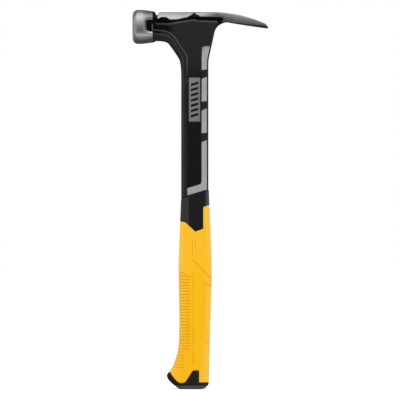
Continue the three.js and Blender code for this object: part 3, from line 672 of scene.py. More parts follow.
bar_half = smooth_along(
    [BAR_START_X, BAR_BEND_X, CLAW_ROOT_X, CLAW_TIP_X],
    [BAR_START_HALF, (BAR_START_HALF + 2 * CLAW_HALF) / 3, CLAW_HALF, CLAW_TIP_HALF])
bar_low = smooth_along(
    [BAR_START_X, BAR_START_X / 2, -PEAK_HALF, BAR_BEND_X, (BAR_BEND_X + 2 * CLAW_ROOT_X) / 3, CLAW_ROOT_X],
    [BAR_LOW_START, BAR_LOW_START, BAR_LOW_MIDDLE, BAR_LOW_MIDDLE, BAR_LOW_BLEND, CLAW_ROOT_LOW])


def claw_top(x):
    """Rise of the top: level over the bar, then a wide arc."""
    bent = np.clip(x - BAR_BEND_X, 0, CLAW_ARC_REACH)
    return BAR_TOP - (CLAW_RADIUS - np.sqrt(CLAW_RADIUS ** 2 - bent ** 2))


def claw_low(x):
    """Rise of the claw's underside."""
    past = x - CLAW_ROOT_X
    return CLAW_ROOT_LOW - CLAW_FALL * past * (1 - past / CLAW_FALL_LENGTH)


def claw_bevel(x):
    """Width of the bevel along the claw's lower edges."""
    return CLAW_BEVEL * share(x - CLAW_BEVEL_X, CLAW_BEVEL_RUN)


def bar_and_claw(x, y, z):
    """Crowned sides, a curved top, bevelled lower edges and a chisel tip."""
    chisel_x = CLAW_TIP_X - CHISEL
    chisel_top = claw_top(chisel_x)
    tip_top = claw_low(CLAW_TIP_X) + CLAW_TIP_THICK
    fall = np.clip((x - chisel_x) / CHISEL, 0, CHISEL_RUN_OUT)
    top = np.where(x > chisel_x, chisel_top + (tip_top - chisel_top) * fall, claw_top(x))
    low = np.where(x < CLAW_ROOT_X, bar_low(x), claw_low(x))
    height = top - low
    rise = np.clip(z - up(low), 0, height)
    crown = share(CROWN_END_X - x, CROWN_RUN)
    slope_low = CROWN_SLOPE_LOW * crown + SIDE_SLOPE_LOW
    slope_high = crown + SIDE_SLOPE_HIGH
    inset = rise * slope_low + rise ** 2 * (slope_high - slope_low) / (2 * height)
    slope = slope_low + (slope_high - slope_low) * rise / height
    beside = np.abs(y) - bar_half(x)
    over = np.abs(z - up((top + low) / 2)) - height / 2
    section = meet((beside + inset) / np.sqrt(1 + slope ** 2), over, radius=1.0)
    section = meet(section, (beside + claw_bevel(x) - rise) * DIAGONAL, radius=0.3)
    start = BAR_START_X + BAR_START_LEAN * (z - up(BAR_TOP)) - x
    return meet(meet(section, start * BAR_START_EASE, radius=0.7), x - CLAW_TIP_X, radius=0.2)


def claw_slot(x, y, z):
    """The V between the tines, wider below and towards the tip."""
    draft = SLOT_DRAFT * share(z - up(SLOT_LOW), SLOT_TOP - SLOT_LOW)
    half = SLOT_LOW_HALF - draft + np.maximum(x - SLOT_X, 0) * SLOT_SPREAD / (CLAW_TIP_X - SLOT_X)
    return np.where(x > SLOT_X, np.abs(y) - half, np.hypot(x - SLOT_X, y) - half)


def turned_bell(x, y, z):
    """Distance to the turned bell, looked up by x and radius."""
    radii = np.linspace(0, BELL_TABLE_REACH, round(BELL_TABLE_REACH / BELL_TABLE_STEP) + 1, dtype=np.float32)
    flat = np.ravel(x)
    table = region(BELL, flat[:, None], radii[None, :])
    last = len(radii) - 1.01  # keeps the next radius inside the table
    spot = np.clip(np.hypot(y, z - HEAD) / BELL_TABLE_STEP, 0, last)
    k = spot.astype(int)
    row = np.arange(len(flat)).reshape(np.shape(x))
    return table[row, k] * (1 - spot + k) + table[row, k + 1] * (spot - k)


def mill(across):
    """Depth of the milled grooves of the striking face, in one direction."""
    off = np.abs((across / MILL_PITCH) % 1 - 0.5) * MILL_PITCH
    return np.maximum(MILL_DEPTH - MILL_SLOPE * off, 0)


def bell(x, y, z):
    """The turned bell with its milled face and a pocket in each flank."""
    turned = turned_bell(x, y, z)
    milled = FACE_X + np.maximum(mill(y), mill(z - HEAD)) - x
    solid = meet(turned, milled * MILL_EASE, radius=0.1)
    flare = np.clip(turned + POCKET_FLARE_DEPTH, 0, POCKET_FLARE)
    pocket = np.maximum(region(POCKET, x, z) - flare, POLL_HALF - np.abs(y))
    return cut(solid, pocket, radius=0.5)


def poll_half(z):
    """Half thickness of poll and neck."""
    return over_rise(z, (NECK_END, 6.5), (-26, 7.6), (-12, 9.6), (-5, POLL_HALF))


def rim_width(z):
    """Width of the bevel along the outer edge of the poll and neck."""
    return over_rise(z, (-48, 1.7), (-33, 3.5), (-23, 4.8), (-12, 6), (-6, 7.7))


def web_half(z):
    """Half thickness of the web, which ramps up into the cheek."""
    return over_rise(z, (WEB_END, WEB_HALF), (NECK_TOP - 2, CHEEK_HALF))


def shaft_and_poll(x, y, z):
    body = region(BODY, x, z)
    shaft = meet(body, y - RAIL_HALF, radius=1.0)
    thick = poll_half(z)
    bevel = (y - thick + RIM_SLOPE * (rim_width(z) + body)) * lean(RIM_SLOPE)
    poll = meet(meet(body, y - thick, radius=1.0), bevel, radius=0.8)
    poll = cut(poll, np.maximum(region(RELIEF, x, z), RAIL_HALF - y), radius=0.8)
    return join(shaft, poll, radius=1.0)


def with_cheek(solid, x, y, z):
    """Adds the channel under the bar, the hollow beside the web, and the raised cheek."""
    solid = cut(solid, np.maximum(region(CHANNEL, x, z), CHANNEL_HALF - y), radius=0.6)
    cheek = region(CHEEK, x, z)
    web = web_half(z)
    draft = RAIL_DRAFT * share(y - WEB_HALF, RAIL_HALF - WEB_HALF)
    solid = cut(solid, np.maximum(cheek - draft, web - y), radius=0.5)
    shield = meet(cheek - CHEEK_FLANGE, (cheek + y - CHEEK_HALF) * DIAGONAL, radius=0.3)
    return join(solid, meet(shield, y - web, radius=0.3), radius=0.6)


def with_top(solid, x, y, z):
    """Adds bar and claw, the peak, the claw's slot, and the oval hollow at the start of the bar."""
    bar = bar_and_claw(x, y, z)
    solid = join(solid, bar, radius=0.8)
    solid = join(solid, meet(region(PEAK, x, z), bar - PEAK_STEP, radius=0.3), radius=0.3)
    solid = cut(solid, claw_slot(x, y, z), radius=0.8)
    oval = np.hypot((x - BAR_START_X - OVAL_LENGTH) / OVAL_LENGTH, (z - up(BAR_LOW_START)) / OVAL_HEIGHT)
    return cut(solid, np.maximum((oval - 1) * OVAL_HEIGHT, OVAL_FLOOR_HALF - y), radius=0.5)


def with_nail_groove(solid, x, y, z):
    """Adds the groove on top of the bell, and the seat of the magnet."""
    floor = up(BELL_REAR_RADIUS - NAIL_GROOVE_DEPTH)
    middle = floor + NAIL_GROOVE_RADIUS
    trough = np.where(z < middle, np.hypot(y, z - middle), y) - NAIL_GROOVE_RADIUS
    solid = cut(solid, np.maximum(trough, x - BAR_START_X), radius=0.4)
    seat = np.maximum(np.hypot(x - MAGNET_X, y) - MAGNET_SEAT_RADIUS, floor - MAGNET_SEAT_DEPTH - z)
    return cut(solid, np.maximum(seat, z - middle), radius=0.1)


def with_inlay_seats(solid, x, y, z):
    """Adds the shallow seats of the bars and the plate."""
    for outline in BARS.values():
        seat = np.maximum(region(outline, x, z) - GAP, RAIL_HALF - BAR_DEPTH - GAP - y)
        solid = cut(solid, seat, radius=0.25)
    seat = np.maximum(region(PLATE, x, z) - GAP, WEB_HALF - PLATE_DEPTH - GAP - y)
    return cut(solid, seat, radius=0.2)


def tang(x, y, z):
    solid = np.maximum(region(TANG, x, z), y - TANG_THICK_HALF)
    for rise in TANG_HOLE_RISES:
        solid = np.maximum(solid, TANG_HOLE_RADIUS - np.hypot(x, z - TANG_LOW - rise))
    return solid


def steel(x, y, z):
    y = np.abs(y)
    solid = shaft_and_poll(x, y, z)
    solid = with_cheek(solid, x, y, z)
    solid = with_top(solid, x, y, z)
    solid = join(solid, bell(x, y, z), radius=0.4)
    solid = with_nail_groove(solid, x, y, z)
    solid = with_inlay_seats(solid, x, y, z)
    return join(solid, tang(x, y, z))


# Finish of the forging at each point: coat, painted highlight lines, painted shade in recesses, and painted
# light and shade on the bare steel

POCKET_COAT_MARGIN = 2.2
POCKET_COAT_HALF = 12.4
BARE_BELL_X = -45.4
UNDER_CLAW_BLACK = 0.4
UNDER_ROOT_BLACK = 0.5
UNDER_ROOT_X = 26.0
UNDER_ROOT_TOP = 5.8
NO_COAT = -9.0  # well inside the bare steel
COAT_FADE = 0.8
PROBE = 0.1
LINE_SHARPNESS = 1.6
TOP_LINE_HALF = 9.5
FLANK_HALF = 5.0
ARM_LINE = 0.4
ARM_LINE_RUN = (-34, -18)
INNER_LINE = 0.85
INNER_LINE_LOW = -60
OUTER_LINE = 0.5
OUTER_LINE_TOP = -4
OUTER_LINE_CLEAR = 1.5
SHADE_FADE = 0.8
WEB_SHADE = 0.7
WEB_SHADE_TOP = -30
WEB_SHADE_RUN = 40
ARM_SHADE_X = -20
ARM_SHADE_RUN = 10
ARM_SHADE_LOW = -7.5
ARM_SHADE_RISE = 4
UNDER_BAR_HALF = 9.6
UNDER_BAR_LOW = 0.5
UNDER_BAR_RISE = 1
UNDER_BAR_END_X = 32
PEAK_SHADE = 0.6
BELL_END_X = -41.0
BELL_REAR_DIM = 0.42
BELL_DIM_X = -57
BELL_DIM_RUN = 5
BELL_DIM_LOW = 1
BELL_DIM_RISE = 4
# Painted light and shade on the bare steel, along the head and up the claw
CLAW_SHADE_X = 25.0
CLAW_SHADE_LOW = 0.72
CLAW_LIGHT_RISE = 0.6
BARE_SHADE_ALONG = [
    (BELL_END_X, 1), (-40, 0.97), (-5, 0.79), (10, 0.76),
    (20, 0.55), (32, 0.6), (45, 0.68), (CLAW_TIP_X, 0.5),
]


def band(value, middle, half):
    """One at the middle, falling to zero past the half width."""
    return np.clip(1.5 - np.abs(value - middle) / half, 0, 1)


def coat_at(x, z, body, pocket):
    """Share of black coat; the same black is also laid along the underside of the claw and under its root."""
    coat = np.minimum(region(BARE_TOP, x, z), np.maximum(x - BARE_BELL_X, -pocket))
    under_claw = UNDER_CLAW_BLACK + claw_bevel(x) - z + up(claw_low(x))
    near_root = (x > UNDER_ROOT_X) & (z < up(UNDER_ROOT_TOP))
    under_root = np.where(near_root, body + UNDER_ROOT_BLACK, NO_COAT)
    coat = np.maximum(coat, np.where(x > CLAW_ROOT_X, under_claw, under_root))
    return np.clip(0.5 + coat / COAT_FADE, 0, 1)


def highlight_lines(x, y, z, cheek, body):
    """Painted highlights: thin bright lines along the bevels of cheek, poll and neck."""
    faces_up = (region(CHEEK, x, z + PROBE) - cheek) / PROBE
    faces_left = (cheek - region(CHEEK, x + PROBE, z)) / PROBE
    top = band(cheek, middle=1, half=0.9) * np.clip(LINE_SHARPNESS * faces_up, 0, 1)
    top = top * (y > TOP_LINE_HALF) * (x > BELL_END_X) * np.interp(x, ARM_LINE_RUN, [ARM_LINE, 1])
    low_left = np.clip(LINE_SHARPNESS * np.maximum(faces_left, -faces_up), 0, 1)
    low_left = low_left * (x < WEB_FRONT + 1) * (z > up(INNER_LINE_LOW))
    inner = band(cheek, middle=0.2, half=0.5) * low_left
    on_rim = (x < WEB_FRONT) * (cheek > OUTER_LINE_CLEAR) * (z < up(OUTER_LINE_TOP))
    outer = band(body, middle=-rim_width(z), half=0.35) * on_rim
    return np.max([top, INNER_LINE * inner, OUTER_LINE * outer], axis=0) * (y > FLANK_HALF)


def painted_shade_at(x, y, z, cheek, pocket):
    """Share of painted shade, a deeper black: low on the web, on the arm, under the bar, on the peak and in
    the pockets.
    """
    low_web = WEB_SHADE * share(up(WEB_SHADE_TOP) - z, WEB_SHADE_RUN) * share(-cheek, SHADE_FADE)
    on_arm = share(ARM_SHADE_X - x, ARM_SHADE_RUN) * share(z - up(ARM_SHADE_LOW), ARM_SHADE_RISE)
    under_bar = share(UNDER_BAR_HALF - y, SHADE_FADE) * share(z - up(UNDER_BAR_LOW), UNDER_BAR_RISE)
    under_bar = under_bar * (x < UNDER_BAR_END_X)
    on_peak = region(PEAK, x, z) < PEAK_SHADE
    return np.max([low_web, on_arm, under_bar, on_peak, pocket < 0], axis=0)


def bare_light_and_shade_at(x, z):
    """Painted light and shade on the bare steel: brightness along the head, dimmer at the rear top of the
    bell, darker low on the claw and lighter at its top.
    """
    bell_rear = share(x - BELL_DIM_X, BELL_DIM_RUN) * share(z - up(BELL_DIM_LOW), BELL_DIM_RISE)
    bell_rear = bell_rear * (x < BELL_END_X)
    climb = share(z - up(claw_low(x)), BAR_TOP - CLAW_ROOT_LOW)
    on_claw = np.where(x > CLAW_SHADE_X, CLAW_SHADE_LOW + CLAW_LIGHT_RISE * climb, 1)
    return (np.interp(x, *zip(*BARE_SHADE_ALONG)) - BELL_REAR_DIM * bell_rear) * on_claw


def finish_steel(mesh, points):
    x, y, z = points[:, 0], np.abs(points[:, 1]), points[:, 2]
    cheek = region(CHEEK, x, z)
    body = region(BODY, x, z)
    pocket = np.maximum(region(POCKET, x, z) - POCKET_COAT_MARGIN, y - POCKET_COAT_HALF)
    put(mesh, "coat", coat_at(x, z, body, pocket))
    # Painted highlights along the bevels
    put(mesh, "bevel", highlight_lines(x, y, z, cheek, body))
    # Painted shade
    put(mesh, "painted_shade", painted_shade_at(x, y, z, cheek, pocket))
    # Painted light and shade of the bare steel
    put(mesh, "bare_light_and_shade", bare_light_and_shade_at(x, z))


# Grip mouldings

front_of = smooth_along(GRIP_STATIONS, GRIP_FRONT)
back_of = smooth_along(GRIP_STATIONS, GRIP_BACK)


def grip(x, y, z, inset=0.0):
    """Distance to the grip's outer form, or to the same form drawn in."""
    roundness = np.sqrt(1 - (1 - share(z, BUTT_ROUND)) ** 2)
    hook = BUTT_FRONT + (GRIP_FRONT[0] - BUTT_FRONT) * np.sin(np.pi / 2 * share(z, HOOK_TOP))
    front = np.where(z >= HOOK_TOP, front_of(z), hook) - inset
    back = BUTT_BACK + (back_of(z) - BUTT_BACK) * roundness - inset
    low = share(HOOK_BLEND - z, HOOK_BLEND - HOOK_TOP)
    thick = GRIP_THICK - HOOK_THIN * low * low * (3 - 2 * low)
    full = thick * ((front_of(z) + back_of(z)) / 2 - inset)
    foot = np.minimum(BUTT_HALF, full)
    half = foot + (full - foot) * roundness
    reach = (front + back) / 2
    u = np.abs(x - (back - front) / 2) / reach
    v = np.abs(y) / half
    level = np.maximum((u ** GRIP_POWER + v ** GRIP_POWER) ** (1 / GRIP_POWER), 1e-3)
    steep = np.hypot(
        (u / level) ** (GRIP_POWER - 1) / reach,
        (v / level) ** (GRIP_POWER - 1) / half)
    return np.maximum((level - 1) / steep, -z).astype(np.float32)


def ribs(x, z):
    """Slots between the ribs of the finger side, ending along a slanted line at the top."""
    number = np.clip(np.round((RIB_TOP - z) / RIB_PITCH), 0, RIB_COUNT - 1)
    middle = RIB_TOP - number * RIB_PITCH
    end = np.where(middle < RIB_LOW, RIB_LOW_END_X, RIB_END_X)
    slot = np.maximum(np.abs(z - middle) - RIB_HALF, x - end)
    return np.maximum(slot, (z - RIB_SLANT_TOP + RIB_SLANT * (x - RIB_SLANT_X)) * lean(RIB_SLANT))


def engrave(solid, outer, mark, depth, corner, edge):
    """Cuts a mark to a depth under the outer form."""
    return cut(solid, meet(mark, -(outer + depth), corner), edge)


def sleeve(x, y, z):
    """Soft sleeve with its palm panel, ribs, groove and moulding lines."""
    outer = grip(x, y, z)
    shell = np.maximum(outer, -grip(x, y, z, SLEEVE_WALL))
    shell = engrave(shell, outer, region(PALM_PANEL, x, z), PANEL_DEPTH, corner=0.15, edge=0.2)
    shell = engrave(shell, outer, ribs(x, z), RIB_DEPTH, corner=0.1, edge=0.35)
    groove = np.maximum(np.abs(x - GROOVE_X) - GROOVE_HALF, np.maximum(z - RIB_TOP, GROOVE_LOW - z))
    shell = engrave(shell, outer, groove, GROOVE_DEPTH, corner=0.1, edge=0.4)
    for _, crease in CREASES:
        shell = engrave(shell, outer, line(crease, x, z) - CREASE_HALF, CREASE_DEPTH, corner=0, edge=0.2)
    shell = cut(shell, region(COLLAR, x, z) - GAP, radius=0.5)
    return cut(shell, region(BUTT, x, z) - GAP, radius=0.5)


def core(x, y, z):
    """The collar with its facets, and the inner moulding round the tang."""
    beside = np.abs(y) - FACET_HALF
    front_facet = (beside + FACET_FRONT_SLOPE * (FACET_FRONT_X - x)) * lean(FACET_FRONT_SLOPE)
    rear_facet = (beside + FACET_REAR_SLOPE * (x - FACET_REAR_X)) * lean(FACET_REAR_SLOPE)
    facets = np.maximum(beside, np.maximum(front_facet, rear_facet))
    collar = meet(meet(grip(x, y, z), facets, radius=0.15), region(COLLAR, x, z), radius=0.4)
    inner = np.maximum(grip(x, y, z, SLEEVE_WALL + GAP), CORE_LOW - z)
    top = (z - shoulder(x) + GAP) * lean(SHOULDER_SLOPE)
    whole = meet(join(collar, inner), top, radius=0.5)
    bore = np.maximum(region(TANG, x, z) - GAP, np.abs(y) - TANG_THICK_HALF - GAP)
    return np.maximum(whole, -bore)


def butt(x, y, z):
    """Butt cap with a seam round it, hollow for the core."""
    outer = grip(x, y, z)
    solid = engrave(outer, outer, np.abs(z - SEAM_RISE) - SEAM_HALF, SEAM_DEPTH, corner=0, edge=0.2)
    solid = meet(solid, region(BUTT, x, z), radius=0.5)
    return np.maximum(solid, -np.maximum(grip(x, y, z, SLEEVE_WALL), CORE_LOW - GAP - z))


# Finish of the mouldings at each point: painted sheen where they are paler, painted shade in a crease

EDGE_SHEEN_START = 0.5
EDGE_SHEEN_RUN = 0.45
FINGER_SHEEN = 0.7
TOP_SHEEN = 0.25
TOP_SHEEN_LOW = 120
TOP_SHEEN_RUN = 20
FRONT_FACET_HIGHLIGHT = 0.45
FOOT_SHEEN_TOP = 4.6
FOOT_SHEEN_RUN = 2
FOOT_SHEEN_LOW = 0.4
FOOT_SHEEN_RISE = 0.8
CREASE_REACH = 1.3
CREASE_FADE = 0.5


def finish_sleeve(mesh, points):
    """Painted sheen: paler rubber towards the edges of the side view and at the top; and painted shade in the
    moulding lines.
    """
    x, z = points[:, 0], points[:, 2]
    outward = (2 * x - back_of(z) + front_of(z)) / (back_of(z) + front_of(z))
    edges = share(np.abs(outward) - EDGE_SHEEN_START, EDGE_SHEEN_RUN) * np.where(outward < 0, FINGER_SHEEN, 1)
    put(mesh, "painted_sheen", np.maximum(edges, TOP_SHEEN * share(z - TOP_SHEEN_LOW, TOP_SHEEN_RUN)))
    lines = []
    # Painted shade in the moulding lines
    for weight, crease in CREASES:
        lines.append(weight * np.clip(CREASE_REACH - line(crease, x, z) / CREASE_FADE, 0, 1))
    put(mesh, "crease", np.max(lines, axis=0))


def finish_core(mesh, points):
    """Painted highlight: paler plastic on the two facets of the collar."""
    x = points[:, 0]
    facets = np.maximum(FRONT_FACET_HIGHLIGHT * (FACET_FRONT_X - x), x - FACET_REAR_X)
    put(mesh, "painted_sheen", np.clip(0.5 + facets, 0, np.where(x < 0, FRONT_FACET_HIGHLIGHT, 1)))


def finish_butt(mesh, points):
    """Painted sheen: paler rubber round the foot."""
    z = points[:, 2]
    put(mesh, "painted_sheen", share(FOOT_SHEEN_TOP - z, FOOT_SHEEN_RUN) * share(z - FOOT_SHEEN_LOW, FOOT_SHEEN_RISE))


# Inlays

def bar_field(outline):
    """Field of a bar with this outline, a little proud of the rail."""
    def field(x, y, z):
        slab = np.maximum(RAIL_HALF - BAR_DEPTH - y, y - RAIL_HALF - BAR_PROUD)
        return meet(region(outline, x, z), slab, radius=0.35)

    return field


def name_plate(x, y, z):
    """A plate with plain slanted slots."""
    slab = np.maximum(WEB_HALF - PLATE_DEPTH - y, y - WEB_HALF - PLATE_PROUD)
    solid = meet(region(PLATE, x, z), slab, radius=0.25)
    off_middle = x - (PLATE_FRONT + PLATE_BACK) / 2
    tilted = z - (PLATE_LOW + PLATE_TOP) / 2 - PLATE_SLOT_TILT * off_middle
    row = np.abs((tilted / PLATE_SLOT_PITCH + 0.5) % 1 - 0.5) * PLATE_SLOT_PITCH
    window = np.maximum(
        np.abs(off_middle) - PLATE_SLOT_REACH,
        np.abs(tilted) - PLATE_SLOTS / 2 * PLATE_SLOT_PITCH)
    return cut(solid, meet(row - PLATE_SLOT_HALF, window, radius=0.6), radius=0.2)


def build_inlay(name, field, outline, depths, step, side):
    """A bar or plate on one side, on a grid a little wider than its outline."""
    xs = [x for x, _ in outline]
    zs = [z for _, z in outline]
    piece, _ = build(
        name, field,
        spaced(min(xs) - 1, (max(xs) + 1, 0.36)),
        depths,
        spaced(min(zs) - 1, (max(zs) + 1, step)),
        side)
    return piece


# Pieces

def build_finished(name, field, finish, *grid):
    """A piece on both flanks, with its finish stored at each point."""
    piece, points = build(name, field, *grid)
    finish(piece.data, points)
    return piece


steel_body = build_finished(
    "steel_body_forged", steel, finish_steel,
    spaced(FACE_X - 1, (-62, 0.38), (CLAW_TIP_X + 1, 0.5)),
    spaced(0.2, (19.4, 0.42)),
    spaced(TANG_LOW - 2, (196, 2.0), (330, 0.62), (372, 0.5), (407, 0.42)))
sleeve_piece = build_finished(
    "grip_sleeve_soft", sleeve, finish_sleeve,
    spaced(-32, (20, 0.5)),
    spaced(0.22, (15.6, 0.46)),
    spaced(4, (202, 0.46)))
core_piece = build_finished(
    "grip_core_hard", core, finish_core,
    spaced(-30, (20, 0.6)),
    spaced(0.25, (14, 0.5)),
    spaced(5, (164, 3.0), (214.5, 0.5)))
butt_piece = build_finished(
    "butt_cap_soft", butt, finish_butt,
    spaced(-32, (18, 0.5)),
    spaced(0.22, (15.6, 0.46)),
    spaced(-1, (21, 0.4)))

inlays = []
plates = []
bar_depths = spaced(RAIL_HALF - 1.9, (RAIL_HALF + 1, 0.29))
plate_depths = spaced(WEB_HALF - 1, (WEB_HALF + 1.2, 0.2))
for side, word in ((-1, "front"), (1, "rear")):
    for bar_name, outline in BARS.items():
        node = f"{bar_name}_{word}"
        inlays.append((build_inlay(f"{node}_bar", bar_field(outline), outline, bar_depths, 0.5, side), node))
    node = f"name_plate_{word}"
    plates.append((build_inlay(f"{node}_slab", name_plate, PLATE, plate_depths, 0.4, side), node))


# Material nodes. The id_data of a node or socket is the tree that holds it

MIX_FACTOR = 0
MIX_A = 6
MIX_B = 7
MIX_COLOUR = 2
GRAIN_HEIGHT = 0.0001
NOISE_SPAN = (0.3, 0.7)  # most of a noise lies here


def material(name):
    made = bpy.data.materials.new(name)
    made.use_nodes = True
    return made, made.node_tree, made.node_tree.nodes["Principled BSDF"]


def feed(node, inputs):
    """Gives a node's inputs links or plain values."""
    for name, value in inputs.items():
        if isinstance(value, bpy.types.NodeSocket):
            node.id_data.links.new(value, node.inputs[name])
        else:
            node.inputs[name].default_value = value


def add(tree, kind, inputs=None, **settings):
    """A new node with its settings and inputs."""
    made = tree.nodes.new(kind)
    for name, value in settings.items():
        setattr(made, name, value)
    feed(made, inputs or {})
    return made


def spread(value, low, high, out_low=0.0, out_high=1.0):
    """Stretches a value from one range to another, and holds it there."""
    ranges = {"Value": value, "From Min": low, "From Max": high, "To Min": out_low, "To Max": out_high}
    return add(value.id_data, "ShaderNodeMapRange", ranges).outputs["Result"]


def mix(factor, a, b):
    """Colour mix of sockets or colours."""
    made = add(factor.id_data, "ShaderNodeMix", data_type="RGBA")
    feed(made, {MIX_FACTOR: factor, MIX_A: a, MIX_B: b})
    return made.outputs[MIX_COLOUR]


def mix_number(factor, a, b):
    return add(factor.id_data, "ShaderNodeMix", {"Factor": factor, "A": a, "B": b}).outputs[0]


def math_node(operation, a, b=0.0):
    return add(a.id_data, "ShaderNodeMath", {0: a, 1: b}, operation=operation).outputs[0]


def scaled(colour, factor):
    inputs = {0: colour, "Scale": factor}
    return add(colour.id_data, "ShaderNodeVectorMath", inputs, operation="SCALE").outputs["Vector"]


def grain(tree, scale, detail=4.0, stretch=(1, 1, 1)):
    """Noise in object space, in metres."""
    place = add(tree, "ShaderNodeTexCoord").outputs["Object"]
    turned = add(tree, "ShaderNodeMapping", {"Vector": place, "Scale": stretch})
    noise = {"Vector": turned.outputs[0], "Scale": scale, "Detail": detail, "Roughness": 0.6}
    return add(tree, "ShaderNodeTexNoise", noise).outputs["Fac"]


def attribute(tree, name):
    return add(tree, "ShaderNodeAttribute", attribute_name=name).outputs["Fac"]


def bump(height, strength):
    inputs = {"Height": height, "Strength": strength, "Distance": GRAIN_HEIGHT}
    return add(height.id_data, "ShaderNodeBump", inputs).outputs["Normal"]


def grey(level):
    return (level, level, level, 1)


def grey_along(value, stops):
    """Grey along a value, through (place, level) stops. The ramp holds half levels, doubled afterwards."""
    first, last = stops[0], stops[-1]
    span = last[0] - first[0]
    made = add(value.id_data, "ShaderNodeValToRGB", {"Fac": spread(value, first[0], last[0])})
    ramp = made.color_ramp.elements
    for place, level in stops[1:-1]:
        ramp.new((place - first[0]) / span).color = grey(level / 2)
    ramp[0].color = grey(first[1] / 2)
    ramp[-1].color = grey(last[1] / 2)
    return scaled(made.outputs["Color"], 2)


# Materials

BARE_DIM = (0.42, 0.42, 0.425, 1)
BARE_BRIGHT = (0.58, 0.58, 0.585, 1)
BARE_STAIN = (0.36, 0.36, 0.37, 1)
# Painted shade in hollows of the bare steel
BARE_HOLLOW_SHADE = grey(0.08)
COAT_DARK = (0.011, 0.011, 0.012, 1)
COAT_LIGHT = (0.018, 0.018, 0.019, 1)
# Painted shade in recesses of the coat
COAT_PAINTED_SHADE = (0.0015, 0.0015, 0.0016, 1)
# Wear on proud edges of the coat, made lighter as a painted highlight too
COAT_WORN_HIGHLIGHT = (0.08, 0.08, 0.082, 1)
# Painted highlight lines along the bevels
COAT_HIGHLIGHT = (0.085, 0.085, 0.087, 1)


def steel_material():
    """Bare forged steel with streaks and stains, under a black coat that is worn along edges; with painted
    highlights on edges and bevels, painted shade in hollows and recesses, and painted light and shade on the
    bare steel.
    """
    made, tree, shader = material("forged_steel")
    proud = attribute(tree, "proud")
    speckle = grain(tree, scale=900, detail=3)
    streak = grain(tree, scale=600, stretch=(0.08, 1, 1))
    cloud = grain(tree, scale=55)
    ragged = math_node("ADD", attribute(tree, "coat"), spread(speckle, *NOISE_SPAN, -0.12, 0.12))
    coat = spread(ragged, 0.35, 0.65)

    bare = mix(streak, BARE_DIM, BARE_BRIGHT)
    bare = mix(spread(cloud, 0.4, 0.75, 0, 0.35), bare, BARE_STAIN)
    # Painted shade: bare steel darker in hollows
    bare = mix(spread(proud, -0.03, -0.12), bare, BARE_HOLLOW_SHADE)
    # Painted light and shade: the bare steel made brighter or darker by place
    bare = scaled(bare, attribute(tree, "bare_light_and_shade"))

    patchy = spread(cloud, 0.35, 0.65, 0.35, 1)
    # Wear on proud edges, partly a painted highlight
    worn_and_highlit = math_node("MULTIPLY", spread(proud, 0.03, 0.11), patchy)
    # Painted highlight lines along the bevels of the coat
    painted_highlight = math_node("MULTIPLY", attribute(tree, "bevel"), spread(cloud, 0.3, 0.6, 0.5, 1))
    black = mix(spread(speckle, *NOISE_SPAN), COAT_DARK, COAT_LIGHT)
    # Painted shade: deeper black in recesses, under the bar and low on the web
    black = mix(attribute(tree, "painted_shade"), black, COAT_PAINTED_SHADE)
    black = mix(math_node("MULTIPLY", worn_and_highlit, 0.6), black, COAT_WORN_HIGHLIGHT)
    black = mix(painted_highlight, black, COAT_HIGHLIGHT)

    smooth = spread(streak, 0.25, 0.75, 0.17, 0.31)
    matte = spread(speckle, *NOISE_SPAN, 0.36, 0.5)
    relief = mix_number(coat, streak, speckle)
    feed(shader, {
        "Base Color": mix(coat, bare, black),
        "Metallic": spread(coat, 0, 1, 1, 0),
        "Roughness": mix_number(coat, smooth, matte),
        "Normal": bump(relief, strength=0.18),
        "Specular IOR Level": 0.1,
    })
    return made


def moulded(name, dark, light, scale, rough, specular,
            edge=None, hollow=None, painted_sheen=None, crease=None, sheen=0.0):
    """Moulded plastic or rubber: fine grain, slow colour change, painted sheen, painted shade in creases,
    painted highlights on edges and painted shade in hollows.
    """
    made, tree, shader = material(name)
    fine = grain(tree, scale, detail=3)
    cloud = grain(tree, scale=45)
    proud = attribute(tree, "proud")
    colour = mix(spread(cloud, *NOISE_SPAN), dark, light)
    colour = mix(spread(fine, 0.35, 0.7, 0, 0.25), colour, dark)
    # Painted sheen: the colour made paler
    if painted_sheen:
        colour = mix(attribute(tree, "painted_sheen"), colour, painted_sheen)
    # Painted shade: darker in the moulding lines
    if crease:
        colour = mix(attribute(tree, "crease"), colour, crease)
    # Painted highlight: lighter on proud edges
    if edge:
        colour = mix(spread(proud, 0.02, 0.12, 0, 0.5), colour, edge)
    # Painted shade: darker in hollows
    if hollow:
        colour = mix(spread(proud, -0.01, -0.08, 0, 0.9), colour, hollow)
    feed(shader, {
        "Base Color": colour,
        "Roughness": spread(fine, *NOISE_SPAN, rough - 0.06, rough + 0.08),
        "Normal": bump(fine, strength=0.2),
        "Specular IOR Level": specular,
        "Sheen Weight": sheen,
        "Sheen Roughness": 0.5,
    })
    return made


def magnet_material():
    made, tree, shader = material("plated_magnet")
    fine = grain(tree, scale=1500, detail=3)
    feed(shader, {
        "Base Color": mix(fine, grey(0.34), grey(0.62)),
        "Roughness": spread(fine, *NOISE_SPAN, 0.2, 0.36),
        "Metallic": 1.0,
    })
    return made


def dress(piece, look, slot, *nodes):
    piece.data.materials.clear()
    piece.data.materials.append(look)
    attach(piece, "root")
    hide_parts(*nodes)


